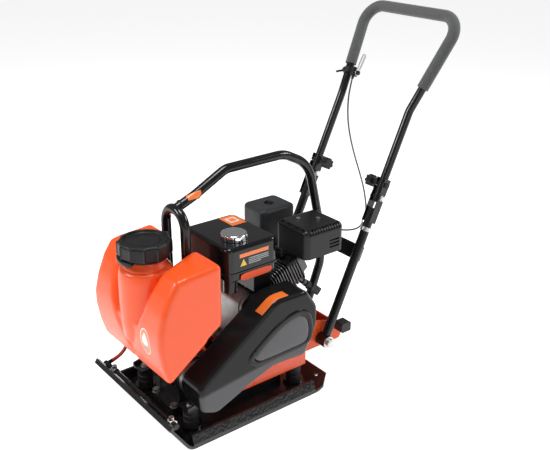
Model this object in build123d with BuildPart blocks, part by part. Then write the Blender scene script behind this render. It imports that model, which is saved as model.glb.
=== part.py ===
"""Petrol plate compactor with a front water tank, belt-driven exciter and folding handle.

Millimetres, +Z up.  The origin is the centre of the flat sole on the ground, -Y is the
front (toe and water tank), +Y is the operator's side and +X is the belt cover's side.
"""
from build123d import *
from math import atan2, cos, degrees, pi, radians, sin, tan
import os

os.makedirs("parts", exist_ok=True)

# ---- driving dimensions -------------------------------------------------------------
PLATE_T = 8.0
PLATE_HALF = 208.0          # half width of the sole
SOLE_HALF = 210.0           # half length of the flat sole
TOE = (-288.5, 94.0)        # centre of the turned-up front edge (y, z)
HEEL = (272.0, 27.7)        # centre of the turned-up rear edge (y, z)
TOE_FOOT_Y = -228.0
HEEL_FOOT_Y = 216.0

EXCITER_Y, EXCITER_Z = -132.0, 128.0
EXCITER_HALF = 84.0         # half length of the exciter housing along X
FOOT_X, FOOT_Y = 48.0, 50.0  # half spacings of the exciter's foot bolts
CRANK_Y, CRANK_Z = 100.0, 258.0
BELT_X = 165.0              # middle plane of the belt
CLUTCH_R = 46.0             # running radius of the belt on the clutch
EXCITER_PULLEY_R = 34.0     # running radius of the belt on the exciter

DECK_T = 6.0
DECK_HALF = 150.0
DECK_Z = 140.0              # underside of the engine tray
SHELF_Z = 70.0              # top of the rubber mounts
ENGINE_BASE = DECK_Z + 14   # underside of the engine's feet
ENGINE_Y = 102.0            # middle of the engine's four bolts
FOOTPRINT = (76.0, 166.0)   # spacing of the engine's four bolts
MOUNT_X = 124.0
MOUNT_Y = (-173.0, 190.0)

CYLINDER_TILT = 25.0        # cylinder axis above the horizontal

PIVOT_Y, PIVOT_Z = 292.0, 120.0
ARM_X = 145.0
ARM_LEAN = 25.0             # handle lean behind the vertical
LOWER_TUBE = 28.0
UPPER_TUBE = 25.0
TUBE_WALL = 2.0
FOLD_AT = 458.0             # fold bolt, from the pivot along the arm
KNOB_AT = 498.0             # locking knob, from the pivot along the arm
LOWER_END = 424.0           # top of the lower tube, from the pivot

PIVOT_BOLT_R = 8.0
PIVOT_BUSH_R = 14.0

MUF_X = (34.0, 172.0)
MUF_Y = (190.0, 332.0)
MUF_TOP = 505.0
MUF_FOOT = 420.0            # underside of the shield
SHIELD_SCREWS = ((78, 238), (112, 284))

LIFT_TUBE = 27.0
HOOP_Y = -120.0

TANK_HALF = 178.0
CAP_Y = -216.0
CAP_R = 74.0

RUN = 0.05                  # radial clearance of a running fit


# ---- small helpers ------------------------------------------------------------------
def save(piece, name):
    """Label one finished piece and write it."""
    piece.part.label = name
    export_step(piece.part, f"parts/{name}.step")


def block(x0, x1, y0, y1, z0, z1, mode=Mode.ADD):
    """Box between two corners."""
    with Locations(((x0 + x1) / 2, (y0 + y1) / 2, (z0 + z1) / 2)):
        Box(x1 - x0, y1 - y0, z1 - z0, mode=mode)


def rod_x(x0, x1, y, z, radius, mode=Mode.ADD):
    """Round bar along X."""
    with Locations(Location(((x0 + x1) / 2, y, z), (0, 90, 0))):
        Cylinder(radius, x1 - x0, mode=mode)


def rod_y(y0, y1, x, z, radius, mode=Mode.ADD):
    """Round bar along Y."""
    with Locations(Location((x, (y0 + y1) / 2, z), (90, 0, 0))):
        Cylinder(radius, y1 - y0, mode=mode)


def rod_z(z0, z1, x, y, radius, mode=Mode.ADD):
    """Round bar along Z."""
    with Locations((x, y, (z0 + z1) / 2)):
        Cylinder(radius, z1 - z0, mode=mode)


def hex_x(x0, x1, y, z, across, mode=Mode.ADD):
    """Hexagonal bolt head or nut along X."""
    with BuildSketch(Plane.YZ.offset(x0)) as profile:
        with Locations((y, z)):
            RegularPolygon(across / 2, 6, major_radius=False)
    extrude(profile.sketch, amount=x1 - x0, mode=mode)


def hex_z(z0, z1, x, y, across, mode=Mode.ADD):
    """Hexagonal bolt head or nut along Z."""
    with BuildSketch(Plane.XY.offset(z0)) as profile:
        with Locations((x, y)):
            RegularPolygon(across / 2, 6, major_radius=False)
    extrude(profile.sketch, amount=z1 - z0, mode=mode)


def tube_along(points, bends, outer, inner):
    """Round tube swept along straight runs and tangent arcs."""
    with BuildLine() as route:
        FilletPolyline(*points, radius=bends)
    with BuildSketch(Plane(origin=route.line @ 0, z_dir=route.line % 0)) as section:
        Circle(outer / 2)
        if inner:
            Circle(inner / 2, mode=Mode.SUBTRACT)
    sweep(section.sketch, path=route.line)


def easy_bends(points):
    """Largest even arc for each corner of a cord: 0.45 of the shorter run."""
    radii = []
    for before, here, after in zip(points, points[1:], points[2:]):
        run_in = Vector(*here) - Vector(*before)
        run_out = Vector(*after) - Vector(*here)
        half_turn = radians(run_in.get_angle(run_out)) / 2
        radii.append(0.45 * min(run_in.length, run_out.length) / tan(half_turn))
    return radii


def arm_point(distance, x=ARM_X):
    """Point on the handle arm's centre line at rest, measured from the pivot."""
    lean = radians(ARM_LEAN)
    return (x, PIVOT_Y + distance * sin(lean), PIVOT_Z + distance * cos(lean))


def arm_plane(distance, x=ARM_X):
    """Plane across the arm; its normal runs up the arm and its x axis is +X."""
    lean = radians(ARM_LEAN)
    return Plane(origin=arm_point(distance, x), x_dir=(1, 0, 0), z_dir=(0, sin(lean), cos(lean)))


def cylinder_plane(distance, x=5.0, offset=0.0):
    """Plane across the engine cylinder's axis; its y axis points up and forward."""
    tilt = radians(CYLINDER_TILT)
    y = CRANK_Y + distance * cos(tilt) - offset * sin(tilt)
    z = CRANK_Z + distance * sin(tilt) + offset * cos(tilt)
    return Plane(origin=(x, y, z), x_dir=(-1, 0, 0), z_dir=(0, cos(tilt), sin(tilt)))


# ---- base plate ---------------------------------------------------------------------
RIM_TOP = 38.0
RIM_LEAN = 10.0
HEEL_HOLE_R = 5.5
HEEL_HOLE_X = 160.0
HEEL_HOLE_RUN = 38.0        # hole centre along the heel's slope
HEEL_CHAMFER = 34.0
BOSS_TOP = 18.0

heel_rise = HEEL[1] - PLATE_T / 2
heel_run = HEEL[0] - HEEL_FOOT_Y
heel_slope = atan2(heel_rise, heel_run)
hole_y = HEEL_FOOT_Y + HEEL_HOLE_RUN * cos(heel_slope)
hole_z = PLATE_T / 2 + HEEL_HOLE_RUN * sin(heel_slope)

with BuildPart() as base_plate:
    with BuildSketch(Plane.YZ):
        with BuildLine() as sheet:
            FilletPolyline(
                TOE, (TOE_FOOT_Y, PLATE_T / 2), (HEEL_FOOT_Y, PLATE_T / 2), HEEL, radius=36
            )
        trace(sheet.line, PLATE_T)
    extrude(amount=PLATE_HALF, both=True)
    for side in (-1, 1):
        with BuildSketch(Plane.XY):
            with BuildLine():
                Polyline(
                    (side * (PLATE_HALF + 1), HEEL[0] + 6 - HEEL_CHAMFER - 8),
                    (side * (PLATE_HALF + 1), HEEL[0] + 8),
                    (side * (PLATE_HALF - HEEL_CHAMFER), HEEL[0] + 8),
                    close=True,
                )
            make_face()
        extrude(amount=60, mode=Mode.SUBTRACT)
    # leaning rims along both sides of the sole
    for side in (-1, 1):
        with BuildSketch(Plane.XZ.offset(-206)):
            with BuildLine():
                Polyline(
                    (side * (PLATE_HALF - 26), PLATE_T - 1),
                    (side * PLATE_HALF, PLATE_T - 1),
                    (side * PLATE_HALF, 13),
                    (side * (PLATE_HALF - RIM_LEAN), RIM_TOP),
                    (side * (PLATE_HALF - RIM_LEAN - 7), RIM_TOP),
                    (side * (PLATE_HALF - 20), RIM_TOP - 8),
                    close=True,
                )
            make_face()
        extrude(amount=424)
    # stiffening bar behind the front lip
    toe_angle = degrees(atan2(TOE[1] - PLATE_T / 2, TOE_FOOT_Y - TOE[0]))
    with Locations(Location((0, TOE[0] + 6, TOE[1] - 2), (-(90 - toe_angle), 0, 0))):
        Box(421, 11, 15)
    for x in (-MOUNT_X, MOUNT_X):
        for y in MOUNT_Y:
            rod_z(PLATE_T - 1, BOSS_TOP, x, y, 30)
    block(-60, 60, EXCITER_Y - 62, EXCITER_Y + 62, PLATE_T - 1, BOSS_TOP)
    for x in (-FOOT_X, FOOT_X):
        for y in (EXCITER_Y - FOOT_Y, EXCITER_Y + FOOT_Y):
            rod_z(BOSS_TOP - 6, BOSS_TOP + 1, x, y, 6, Mode.SUBTRACT)
    for x in (-95, 95):
        block(x - 4, x + 4, -60, 160, PLATE_T - 1, 30)
    for x in (-HEEL_HOLE_X, HEEL_HOLE_X):
        hole_axis = Plane(origin=(x, hole_y, hole_z), z_dir=(0, -sin(heel_slope), cos(heel_slope)))
        with Locations(hole_axis.location):
            Cylinder(HEEL_HOLE_R, 40, mode=Mode.SUBTRACT)
save(base_plate, "base_plate")

# ---- exciter ------------------------------------------------------------------------
BEARING_OUT, BEARING_IN, BEARING_W = 36.0, 15.0, 20.0
FOOT_TOP = BOSS_TOP + 12

with BuildPart() as exciter_housing:
    rod_x(-EXCITER_HALF, EXCITER_HALF, EXCITER_Y, EXCITER_Z, 50)
    block(-58, 58, EXCITER_Y - 60, EXCITER_Y + 60, BOSS_TOP, FOOT_TOP)
    block(-52, 52, EXCITER_Y - 34, EXCITER_Y + 34, FOOT_TOP - 1, EXCITER_Z)
    for x in (-66, -33, 0, 33, 66):
        rod_x(x - 2.5, x + 2.5, EXCITER_Y, EXCITER_Z, 55)
    rod_x(-EXCITER_HALF, EXCITER_HALF, EXCITER_Y, EXCITER_Z, BEARING_OUT, Mode.SUBTRACT)
    with Locations((0, EXCITER_Y, 0)):
        with GridLocations(2 * FOOT_X, 2 * FOOT_Y, 2, 2):
            Cylinder(6.5, 3 * FOOT_TOP, mode=Mode.SUBTRACT)
save(exciter_housing, "exciter_housing")

with BuildPart() as exciter_caps:
    for side in (-1, 1):
        inner, outer = side * EXCITER_HALF, side * (EXCITER_HALF + 12)
        rod_x(min(inner, outer), max(inner, outer), EXCITER_Y, EXCITER_Z, 50)
        with Locations(Location((0, EXCITER_Y, EXCITER_Z), (0, 90, 0))):
            with PolarLocations(43, 6):
                with Locations((0, 0, side * (EXCITER_HALF + 14))):
                    Cylinder(5, 5)
    rod_x(0, EXCITER_HALF + 20, EXCITER_Y, EXCITER_Z, 14, Mode.SUBTRACT)
save(exciter_caps, "exciter_caps")

with BuildPart() as exciter_bearings:
    for side in (-1, 1):
        start = side * (EXCITER_HALF - BEARING_W / 2)
        rod_x(start - BEARING_W / 2, start + BEARING_W / 2, EXCITER_Y, EXCITER_Z, BEARING_OUT)
    rod_x(-100, 100, EXCITER_Y, EXCITER_Z, BEARING_IN, Mode.SUBTRACT)
save(exciter_bearings, "exciter_bearings")

with BuildPart() as exciter_shaft:
    rod_x(-EXCITER_HALF + 1, EXCITER_HALF - 1, EXCITER_Y, EXCITER_Z, BEARING_IN - RUN)
    rod_x(EXCITER_HALF - 2, BELT_X + 20, EXCITER_Y, EXCITER_Z, 12)
    with BuildSketch(Plane.YZ.offset(-60)):
        with Locations((EXCITER_Y, EXCITER_Z)):
            Circle(33)
            with Locations((0, 24)):
                Rectangle(70, 40, mode=Mode.SUBTRACT)
    extrude(amount=120)
save(exciter_shaft, "exciter_shaft")


def pulley_profile(y, z, radius, half_width, hub):
    """V-belt pulley about an X axis through (y, z), with its groove at BELT_X."""
    with BuildSketch(Plane.XZ.offset(-y)) as profile:
        with BuildLine():
            Polyline(
                (BELT_X - half_width, z + hub),
                (BELT_X - half_width, z + radius + 6),
                (BELT_X - 6.5, z + radius + 6),
                (BELT_X - 4, z + radius - 5),
                (BELT_X + 4, z + radius - 5),
                (BELT_X + 6.5, z + radius + 6),
                (BELT_X + half_width, z + radius + 6),
                (BELT_X + half_width, z + hub),
                close=True,
            )
        make_face()
    revolve(profile.sketch, axis=Axis((0, y, z), (1, 0, 0)))


with BuildPart() as exciter_pulley:
    pulley_profile(EXCITER_Y, EXCITER_Z, EXCITER_PULLEY_R, 12, 12)
    with Locations(Location((BELT_X, EXCITER_Y, EXCITER_Z), (0, 90, 0))):
        with PolarLocations(21, 5):
            Cylinder(5.5, 40, mode=Mode.SUBTRACT)
save(exciter_pulley, "exciter_pulley")

# ---- belt ---------------------------------------------------------------------------
with BuildPart() as drive_belt:
    with BuildSketch(Plane.YZ.offset(BELT_X - 4)):
        with Locations((CRANK_Y, CRANK_Z)):
            Circle(CLUTCH_R + 5)
        with Locations((EXCITER_Y, EXCITER_Z)):
            Circle(EXCITER_PULLEY_R + 5)
        make_hull()
        offset(amount=-8, mode=Mode.SUBTRACT)
    extrude(amount=8)
save(drive_belt, "drive_belt")

# ---- rubber mounts and their fasteners ------------------------------------------------
mount_places = [(x, y) for x in (-MOUNT_X, MOUNT_X) for y in MOUNT_Y]

with BuildPart() as rubber_mounts:
    for x, y in mount_places:
        rod_z(BOSS_TOP, SHELF_Z, x, y, 22)
    for x, y in mount_places:
        for z in (BOSS_TOP + 17, SHELF_Z - 17):
            with Locations((x, y, z)):
                Torus(23.5, 3.2, mode=Mode.SUBTRACT)
save(rubber_mounts, "rubber_mounts")

with BuildPart() as exciter_bolts:
    for x in (-FOOT_X, FOOT_X):
        for y in (EXCITER_Y - FOOT_Y, EXCITER_Y + FOOT_Y):
            rod_z(BOSS_TOP - 6, FOOT_TOP, x, y, 6)
            rod_z(FOOT_TOP, FOOT_TOP + 3, x, y, 11)
            hex_z(FOOT_TOP + 3, FOOT_TOP + 11, x, y, 18)
save(exciter_bolts, "exciter_bolts")

# ---- sprinkler bar --------------------------------------------------------------------
SPRAY_Y, SPRAY_Z, SPRAY_R = -262.0, 84.0, 8.5
INLET = Vector(-190, SPRAY_Y, SPRAY_Z)
INLET_AXIS = Vector(0.605, 0.518, 0.605).normalized()

with BuildPart() as sprinkler_bar:
    rod_x(-196, 196, SPRAY_Y, SPRAY_Z, SPRAY_R)
    rod_x(-190, 190, SPRAY_Y, SPRAY_Z, SPRAY_R - 1.5, Mode.SUBTRACT)
    with BuildSketch(Plane(origin=INLET + INLET_AXIS * 5, z_dir=INLET_AXIS)):
        Circle(6)
    extrude(amount=20.5)
    with BuildSketch(Plane(origin=INLET, z_dir=INLET_AXIS)):
        Circle(3.5)
    extrude(amount=26, mode=Mode.SUBTRACT)
    for step in range(-8, 9):
        rod_z(SPRAY_Z - 12, SPRAY_Z, step * 22, SPRAY_Y, 1.6, Mode.SUBTRACT)
save(sprinkler_bar, "sprinkler_bar")

with BuildPart() as sprinkler_clamps:
    for x in (-140, 172):
        with Locations(Location((x, SPRAY_Y, SPRAY_Z), (0, 90, 0))):
            Cylinder(SPRAY_R + 3, 18)
        block(x - 9, x + 9, SPRAY_Y - 13, SPRAY_Y - 2, SPRAY_Z - 22, SPRAY_Z + 2)
        rod_x(x - 10, x + 10, SPRAY_Y, SPRAY_Z, SPRAY_R, Mode.SUBTRACT)
        rod_z(SPRAY_Z + 10, SPRAY_Z + 19, x, SPRAY_Y, 7)
    with BuildSketch(Plane.YZ.offset(-200)):
        with BuildLine():
            Polyline(
                (TOE[0] + 3.4, TOE[1] + 2.2),
                (TOE_FOOT_Y + 3.4, PLATE_T / 2 + 2.2),
                (TOE_FOOT_Y - 50, -60),
                (TOE[0] - 60, TOE[1]),
                close=True,
            )
        make_face()
    extrude(amount=400, mode=Mode.SUBTRACT)
save(sprinkler_clamps, "sprinkler_clamps")

# ---- engine deck ----------------------------------------------------------------------
COVER_BACK = 116.0
COVER_FACE = 202.0
COVER_WALL = 3.0


def cover_outline():
    """Face of the belt cover's outline, for the sketch that calls it."""
    with BuildLine() as outline:
        route = FilletPolyline(
            (-60, 102), (-136, 72), (-184, 92), (-192, 168), (66, 350), (172, 348),
            (214, 288), (213, 220), (170, 140), (62, 147), (-10, 124),
            radius=[34, 26, 30, 56, 30, 44, 40, 18, 40],
        )
        Line(route @ 1, route @ 0)
    make_face(outline.line.edges())


with BuildPart() as engine_deck:
    with BuildSketch(Plane.YZ.offset(-DECK_HALF)):
        with BuildLine():
            Line((-198, SHELF_Z), (214, SHELF_Z))
            Line((214, SHELF_Z), (214, DECK_Z + DECK_T))
            Line((214, DECK_Z + DECK_T), (-50, DECK_Z + DECK_T))
            Line((-50, DECK_Z + DECK_T), (-100, 106))
            Line((-100, 106), (-198, 84))
            Line((-198, 84), (-198, SHELF_Z))
        make_face()
    extrude(amount=5)
    mirror(about=Plane.YZ)
    block(-DECK_HALF, DECK_HALF, -50, 214, DECK_Z, DECK_Z + DECK_T)
    for side in (-1, 1):
        near, far = side * 100, side * DECK_HALF
        block(min(near, far), max(near, far), -198, 12, SHELF_Z, SHELF_Z + DECK_T)
        block(min(near, far), max(near, far), 168, 214, SHELF_Z, SHELF_Z + DECK_T)
    # relief round the belt cover and the exciter shaft
    with BuildSketch(Plane.YZ.offset(COVER_BACK - 1.5)):
        cover_outline()
        offset(amount=1.5, mode=Mode.REPLACE)
    extrude(amount=40, mode=Mode.SUBTRACT)
    rod_x(DECK_HALF - 50, DECK_HALF + 1, EXCITER_Y, EXCITER_Z, 24, Mode.SUBTRACT)
    for x in (-FOOTPRINT[0] / 2, FOOTPRINT[0] / 2):
        block(x - 22, x + 22, 6, 198, DECK_Z + DECK_T - 1, ENGINE_BASE)
    with Locations((0, ENGINE_Y, 0)):
        with GridLocations(*FOOTPRINT, 2, 2):
            Cylinder(5.5, 2 * (DECK_Z + 20), mode=Mode.SUBTRACT)
save(engine_deck, "engine_deck")

CHEEK_X = 120.0
CHEEK_T = 6.0

with BuildPart() as handle_bracket:
    for side in (-1, 1):
        start = side * CHEEK_X - (CHEEK_T if side < 0 else 0)
        with BuildSketch(Plane.YZ.offset(start)):
            with BuildLine():
                FilletPolyline(
                    (214.5, 92), (370, 92), (392, 140), (352, 158), (262, 186), (214.5, 160),
                    radius=[10, 10, 6, 12],
                )
                Line((214.5, 160), (214.5, 92))
            make_face()
            with Locations((PIVOT_Y, PIVOT_Z)):
                Circle(8.2, mode=Mode.SUBTRACT)
        extrude(amount=CHEEK_T)
    block(-CHEEK_X, CHEEK_X, 214.5, 372, 98, 104)
    block(-CHEEK_X, CHEEK_X, 214.5, 220.5, 98, 158)
    block(-CHEEK_X, CHEEK_X, 366, 372, 98, 140)
save(handle_bracket, "handle_bracket")

STOP_Y0, STOP_Z0 = 352.0, 128.0
with BuildPart() as handle_stops:
    for side in (-1, 1):
        near, far = side * (CHEEK_X + CHEEK_T), side * (CHEEK_X + CHEEK_T + 34)
        block(min(near, far), max(near, far), STOP_Y0 - 3, STOP_Y0 + 34, STOP_Z0, STOP_Z0 + 30)
    fillet(handle_stops.edges().filter_by(Axis.X), 5)
    # flanged bushes that the handle's hubs turn on
    for side in (-1, 1):
        edge = side * (CHEEK_X + CHEEK_T)
        rod_x(*sorted((edge, side * 129.6)), PIVOT_Y, PIVOT_Z, 20)
        rod_x(*sorted((edge, side * 162)), PIVOT_Y, PIVOT_Z, PIVOT_BUSH_R - RUN)
    rod_x(-170, 170, PIVOT_Y, PIVOT_Z, PIVOT_BOLT_R, Mode.SUBTRACT)
save(handle_stops, "handle_stops")

with BuildPart() as deck_bolts:
    for x, y in mount_places:
        rod_z(SHELF_Z + DECK_T, SHELF_Z + DECK_T + 2, x, y, 12)
        hex_z(SHELF_Z + DECK_T + 2, SHELF_Z + DECK_T + 7, x, y, 17)
    with BuildSketch(Plane.XY.offset(ENGINE_BASE + 13)):
        with Locations((0, ENGINE_Y)):
            with GridLocations(*FOOTPRINT, 2, 2):
                RegularPolygon(6.5, 6, major_radius=False)
    extrude(amount=7)
    with Locations((0, ENGINE_Y, ENGINE_BASE)):
        with GridLocations(*FOOTPRINT, 2, 2):
            Cylinder(4.5, 26)
    for side in (-1, 1):
        for near, far, radius in ((108, 176, PIVOT_BOLT_R), (162.2, 165.5, 19), (117, 120, 15)):
            ends = sorted((side * near, side * far))
            rod_x(*ends, PIVOT_Y, PIVOT_Z, radius)
        hex_x(*sorted((side * 165.5, side * 175)), PIVOT_Y, PIVOT_Z, 24)
        hex_x(*sorted((side * 109, side * 117)), PIVOT_Y, PIVOT_Z, 24)
    for x, y in SHIELD_SCREWS:
        rod_z(484, MUF_TOP + 1, x, y, 4)
        hex_z(MUF_TOP + 0.6, MUF_TOP + 5, x, y, 11)
save(deck_bolts, "deck_bolts")

# ---- engine block ---------------------------------------------------------------------
CASE_X = (-70.0, 72.0)
CASE_TOP = 332.0

with BuildPart() as crankcase:
    with BuildSketch(Plane.YZ.offset(CASE_X[0])):
        with BuildLine():
            FilletPolyline(
                (28, ENGINE_BASE + 12), (28, 300), (60, CASE_TOP), (118, CASE_TOP),
                (170, 318), (192, 262), (176, 196), (176, ENGINE_BASE + 12),
                radius=[26, 20, 20, 26, 14, 10],
            )
            Line((176, ENGINE_BASE + 12), (28, ENGINE_BASE + 12))
        make_face()
    extrude(amount=CASE_X[1] - CASE_X[0])
    block(-60, 60, 8, 196, ENGINE_BASE, ENGINE_BASE + 13)
    for x in range(-54, 66, 18):
        block(x - 2, x + 2, 66, 124, CASE_TOP - 1, CASE_TOP + 8)
    block(CASE_X[0] + 7, CASE_X[1] + 1, 36, 168, ENGINE_BASE + 19, 306, Mode.SUBTRACT)
    rod_x(CASE_X[0] - 1, CASE_X[0] + 8, CRANK_Y, CRANK_Z, 26, Mode.SUBTRACT)
    with Locations((0, ENGINE_Y, ENGINE_BASE + 6)):
        with GridLocations(*FOOTPRINT, 2, 2):
            Cylinder(5.5, 20, mode=Mode.SUBTRACT)
    with BuildSketch(cylinder_plane(66)):
        Rectangle(200, 104)
    extrude(amount=60, mode=Mode.SUBTRACT)
    with BuildSketch(cylinder_plane(52)):
        Circle(36)
    extrude(amount=60, mode=Mode.SUBTRACT)
    # ball bearing of the starter side, pressed into the wall
    rod_x(CASE_X[0] - 4, CASE_X[0] + 8, CRANK_Y, CRANK_Z, 27)
    rod_x(CASE_X[0] - 9, CASE_X[0] + 9, CRANK_Y, CRANK_Z, 15, Mode.SUBTRACT)
save(crankcase, "crankcase")

with BuildPart() as crankcase_cover:
    with BuildSketch(Plane.YZ.offset(CASE_X[1])):
        with BuildLine():
            FilletPolyline(
                (30, ENGINE_BASE + 14), (30, 298), (60, 326), (118, 326),
                (166, 312), (186, 262), (172, 196), (172, ENGINE_BASE + 14),
                radius=[26, 20, 20, 26, 14, 10],
            )
            Line((172, ENGINE_BASE + 14), (30, ENGINE_BASE + 14))
        make_face()
    extrude(amount=12)
    rod_x(CASE_X[1] + 11, CASE_X[1] + 26, CRANK_Y, CRANK_Z, 34)
    with Locations(Location((CASE_X[1] + 14, CRANK_Y, CRANK_Z), (0, 90, 0))):
        with PolarLocations(62, 7):
            Cylinder(6, 6)
    rod_x(0, 140, CRANK_Y, CRANK_Z, 15, Mode.SUBTRACT)
save(crankcase_cover, "crankcase_cover")

with BuildPart() as crankshaft:
    rod_x(-112, CASE_X[1] + 26, CRANK_Y, CRANK_Z, 15 - RUN)
    rod_x(CASE_X[1] + 24, BELT_X + 17, CRANK_Y, CRANK_Z, 11)
    for x in (-20, 22):
        with BuildSketch(Plane.YZ.offset(x)):
            with Locations((CRANK_Y, CRANK_Z)):
                Circle(40)
                with Locations((-30, 0)):
                    Rectangle(30, 90, mode=Mode.SUBTRACT)
        extrude(amount=12)
save(crankshaft, "crankshaft")

with BuildPart() as clutch_pulley:
    pulley_profile(CRANK_Y, CRANK_Z, CLUTCH_R, 12, 11)
    rod_x(126, BELT_X - 11, CRANK_Y, CRANK_Z, 50)
    rod_x(125, BELT_X - 14, CRANK_Y, CRANK_Z, 44, Mode.SUBTRACT)
    # three centrifugal shoes on their spider, just inside the drum
    with BuildSketch(Plane.YZ.offset(128)):
        with Locations((CRANK_Y, CRANK_Z)):
            Circle(43)
            Circle(11, mode=Mode.SUBTRACT)
            with PolarLocations(28, 3):
                Rectangle(36, 5, mode=Mode.SUBTRACT)
    extrude(amount=20)
    rod_x(120, BELT_X + 15, CRANK_Y, CRANK_Z, 11, Mode.SUBTRACT)
save(clutch_pulley, "clutch_pulley")

with BuildPart() as flywheel:
    rod_x(-100, -84, CRANK_Y, CRANK_Z, 78)
    with Locations(Location((-104, CRANK_Y, CRANK_Z), (0, 90, 0))):
        with PolarLocations(62, 14):
            Box(26, 3, 10)
    rod_x(-130, -80, CRANK_Y, CRANK_Z, 15 - RUN, Mode.SUBTRACT)
save(flywheel, "flywheel")

# ---- cylinder -------------------------------------------------------------------------
with BuildPart() as cylinder_barrel:
    with BuildSketch(cylinder_plane(70)):
        Circle(41)
    extrude(amount=80)
    for step in range(8):
        with BuildSketch(cylinder_plane(80 + 9 * step)):
            RectangleRounded(122, 100, 14)
        extrude(amount=3)
    with BuildSketch(cylinder_plane(66)):
        RectangleRounded(96, 84, 10)
    extrude(amount=7)
    with BuildSketch(cylinder_plane(60)):
        Circle(34)
    extrude(amount=90, mode=Mode.SUBTRACT)
save(cylinder_barrel, "cylinder_barrel")

with BuildPart() as piston:
    with BuildSketch(cylinder_plane(96)):
        Circle(33.9)
    extrude(amount=46)
    with BuildSketch(cylinder_plane(95)):
        Circle(29)
    extrude(amount=38, mode=Mode.SUBTRACT)
save(piston, "piston")

PLUG_AXIS = Vector(0, 0.75, -0.66).normalized()
PLUG_ROOT = Vector(62, 268, 296)
plug_plane = Plane(origin=PLUG_ROOT, x_dir=(1, 0, 0), z_dir=PLUG_AXIS)

with BuildPart() as cylinder_head:
    with BuildSketch(cylinder_plane(150)):
        RectangleRounded(104, 84, 10)
    extrude(amount=36)
    for step in range(4):
        with BuildSketch(cylinder_plane(153 + 9 * step)):
            RectangleRounded(124, 88, 14)
        extrude(amount=3)
    with BuildSketch(cylinder_plane(186)):
        RectangleRounded(104, 80, 12)
    extrude(amount=4)
    with BuildSketch(cylinder_plane(189)):
        RectangleRounded(92, 72, 12)
    extrude(amount=23, taper=8)
    with BuildSketch(plug_plane.offset(-14)):
        Circle(6)
    extrude(amount=24)
    with BuildSketch(plug_plane.offset(4)):
        RegularPolygon(9.5, 6, major_radius=False)
    extrude(amount=12)
    with BuildSketch(plug_plane.offset(10)):
        Circle(6)
    extrude(amount=28)
save(cylinder_head, "cylinder_head")

with BuildPart() as plug_boot:
    with BuildSketch(plug_plane.offset(20)):
        Circle(11)
    extrude(amount=26)
    with BuildSketch(plug_plane.offset(44)):
        RectangleRounded(26, 26, 6)
    extrude(amount=40)
    with BuildSketch(plug_plane.offset(8)):
        Circle(6.2)
    extrude(amount=31, mode=Mode.SUBTRACT)
save(plug_boot, "plug_boot")

# ---- cooling cowl and recoil starter --------------------------------------------------
START_LEAN = 22.0           # pull of the starter rope, forwards of the vertical
COWL_X = (-116.0, -72.0)
COWL_R = 92.0
START_ROOT = (CRANK_Y - 52, CRANK_Z + 62)

with BuildPart() as blower_cowl:
    rod_x(COWL_X[0], COWL_X[1], CRANK_Y, CRANK_Z, COWL_R)
    with BuildSketch(Plane.YZ.offset(COWL_X[0])):
        with BuildLine():
            FilletPolyline(
                (60, 336), (172, 352), (206, 300), (180, 220), radius=[16, 16]
            )
            Line((180, 220), (60, 336))
        make_face()
    extrude(amount=COWL_X[1] - COWL_X[0])
    rod_x(COWL_X[0] + 3, COWL_X[1] + 1, CRANK_Y, CRANK_Z, COWL_R - 3, Mode.SUBTRACT)
    rod_x(COWL_X[0] - 1, COWL_X[0] + 4, CRANK_Y, CRANK_Z, 66, Mode.SUBTRACT)
    block(-200, 200, 0, 300, 100, ENGINE_BASE + 15, Mode.SUBTRACT)
    # engine switch box on the cowl's rear edge
    block(-146, -90, 184, 214, 236, 268)
    block(-138, -100, 190, 208, 230, 240)
save(blower_cowl, "blower_cowl")

with BuildPart() as recoil_cover:
    rod_x(-136, COWL_X[0], CRANK_Y, CRANK_Z, 78)
    fillet(recoil_cover.faces().sort_by(Axis.X)[0].edges(), 8)
    rod_x(-132, COWL_X[0] + 1, CRANK_Y, CRANK_Z, 73, Mode.SUBTRACT)
    with Locations(Location((-134, CRANK_Y, CRANK_Z), (0, 90, 0))):
        with PolarLocations(48, 16):
            Box(24, 6, 7, mode=Mode.SUBTRACT)
    with Locations(Location((-124.4, *START_ROOT), (START_LEAN, 0, 0))):
        Box(16, 18, 34)
        Cylinder(3.2, 60, mode=Mode.SUBTRACT)
save(recoil_cover, "recoil_cover")

GRIP_AXIS = Vector(0, -sin(radians(START_LEAN)), cos(radians(START_LEAN)))
GRIP_ROOT = Vector(-124.4, *START_ROOT) + GRIP_AXIS * 18
grip_plane = Plane(origin=GRIP_ROOT, x_dir=(1, 0, 0), z_dir=GRIP_AXIS)

with BuildPart() as starter_grip:
    with BuildSketch(grip_plane.offset(0.5)):
        RectangleRounded(15, 46, 6)
    with BuildSketch(grip_plane.offset(17)):
        RectangleRounded(20, 62, 9)
    loft()
    with BuildSketch(grip_plane.offset(-24)):
        Circle(2.5)
    extrude(amount=26)
save(starter_grip, "starter_grip")

# ---- fuel tank ------------------------------------------------------------------------
FUEL_X = (-103.0, 113.0)
FUEL_Y = (-33.0, 140.0)
FUEL_Z = (396.0, 420.0, 492.0)
FUEL_CAP = (52.0, 32.0)
FUEL_CAP_R = 37.0
PLATE_Z = 384.0             # top of the speed control plate

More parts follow.
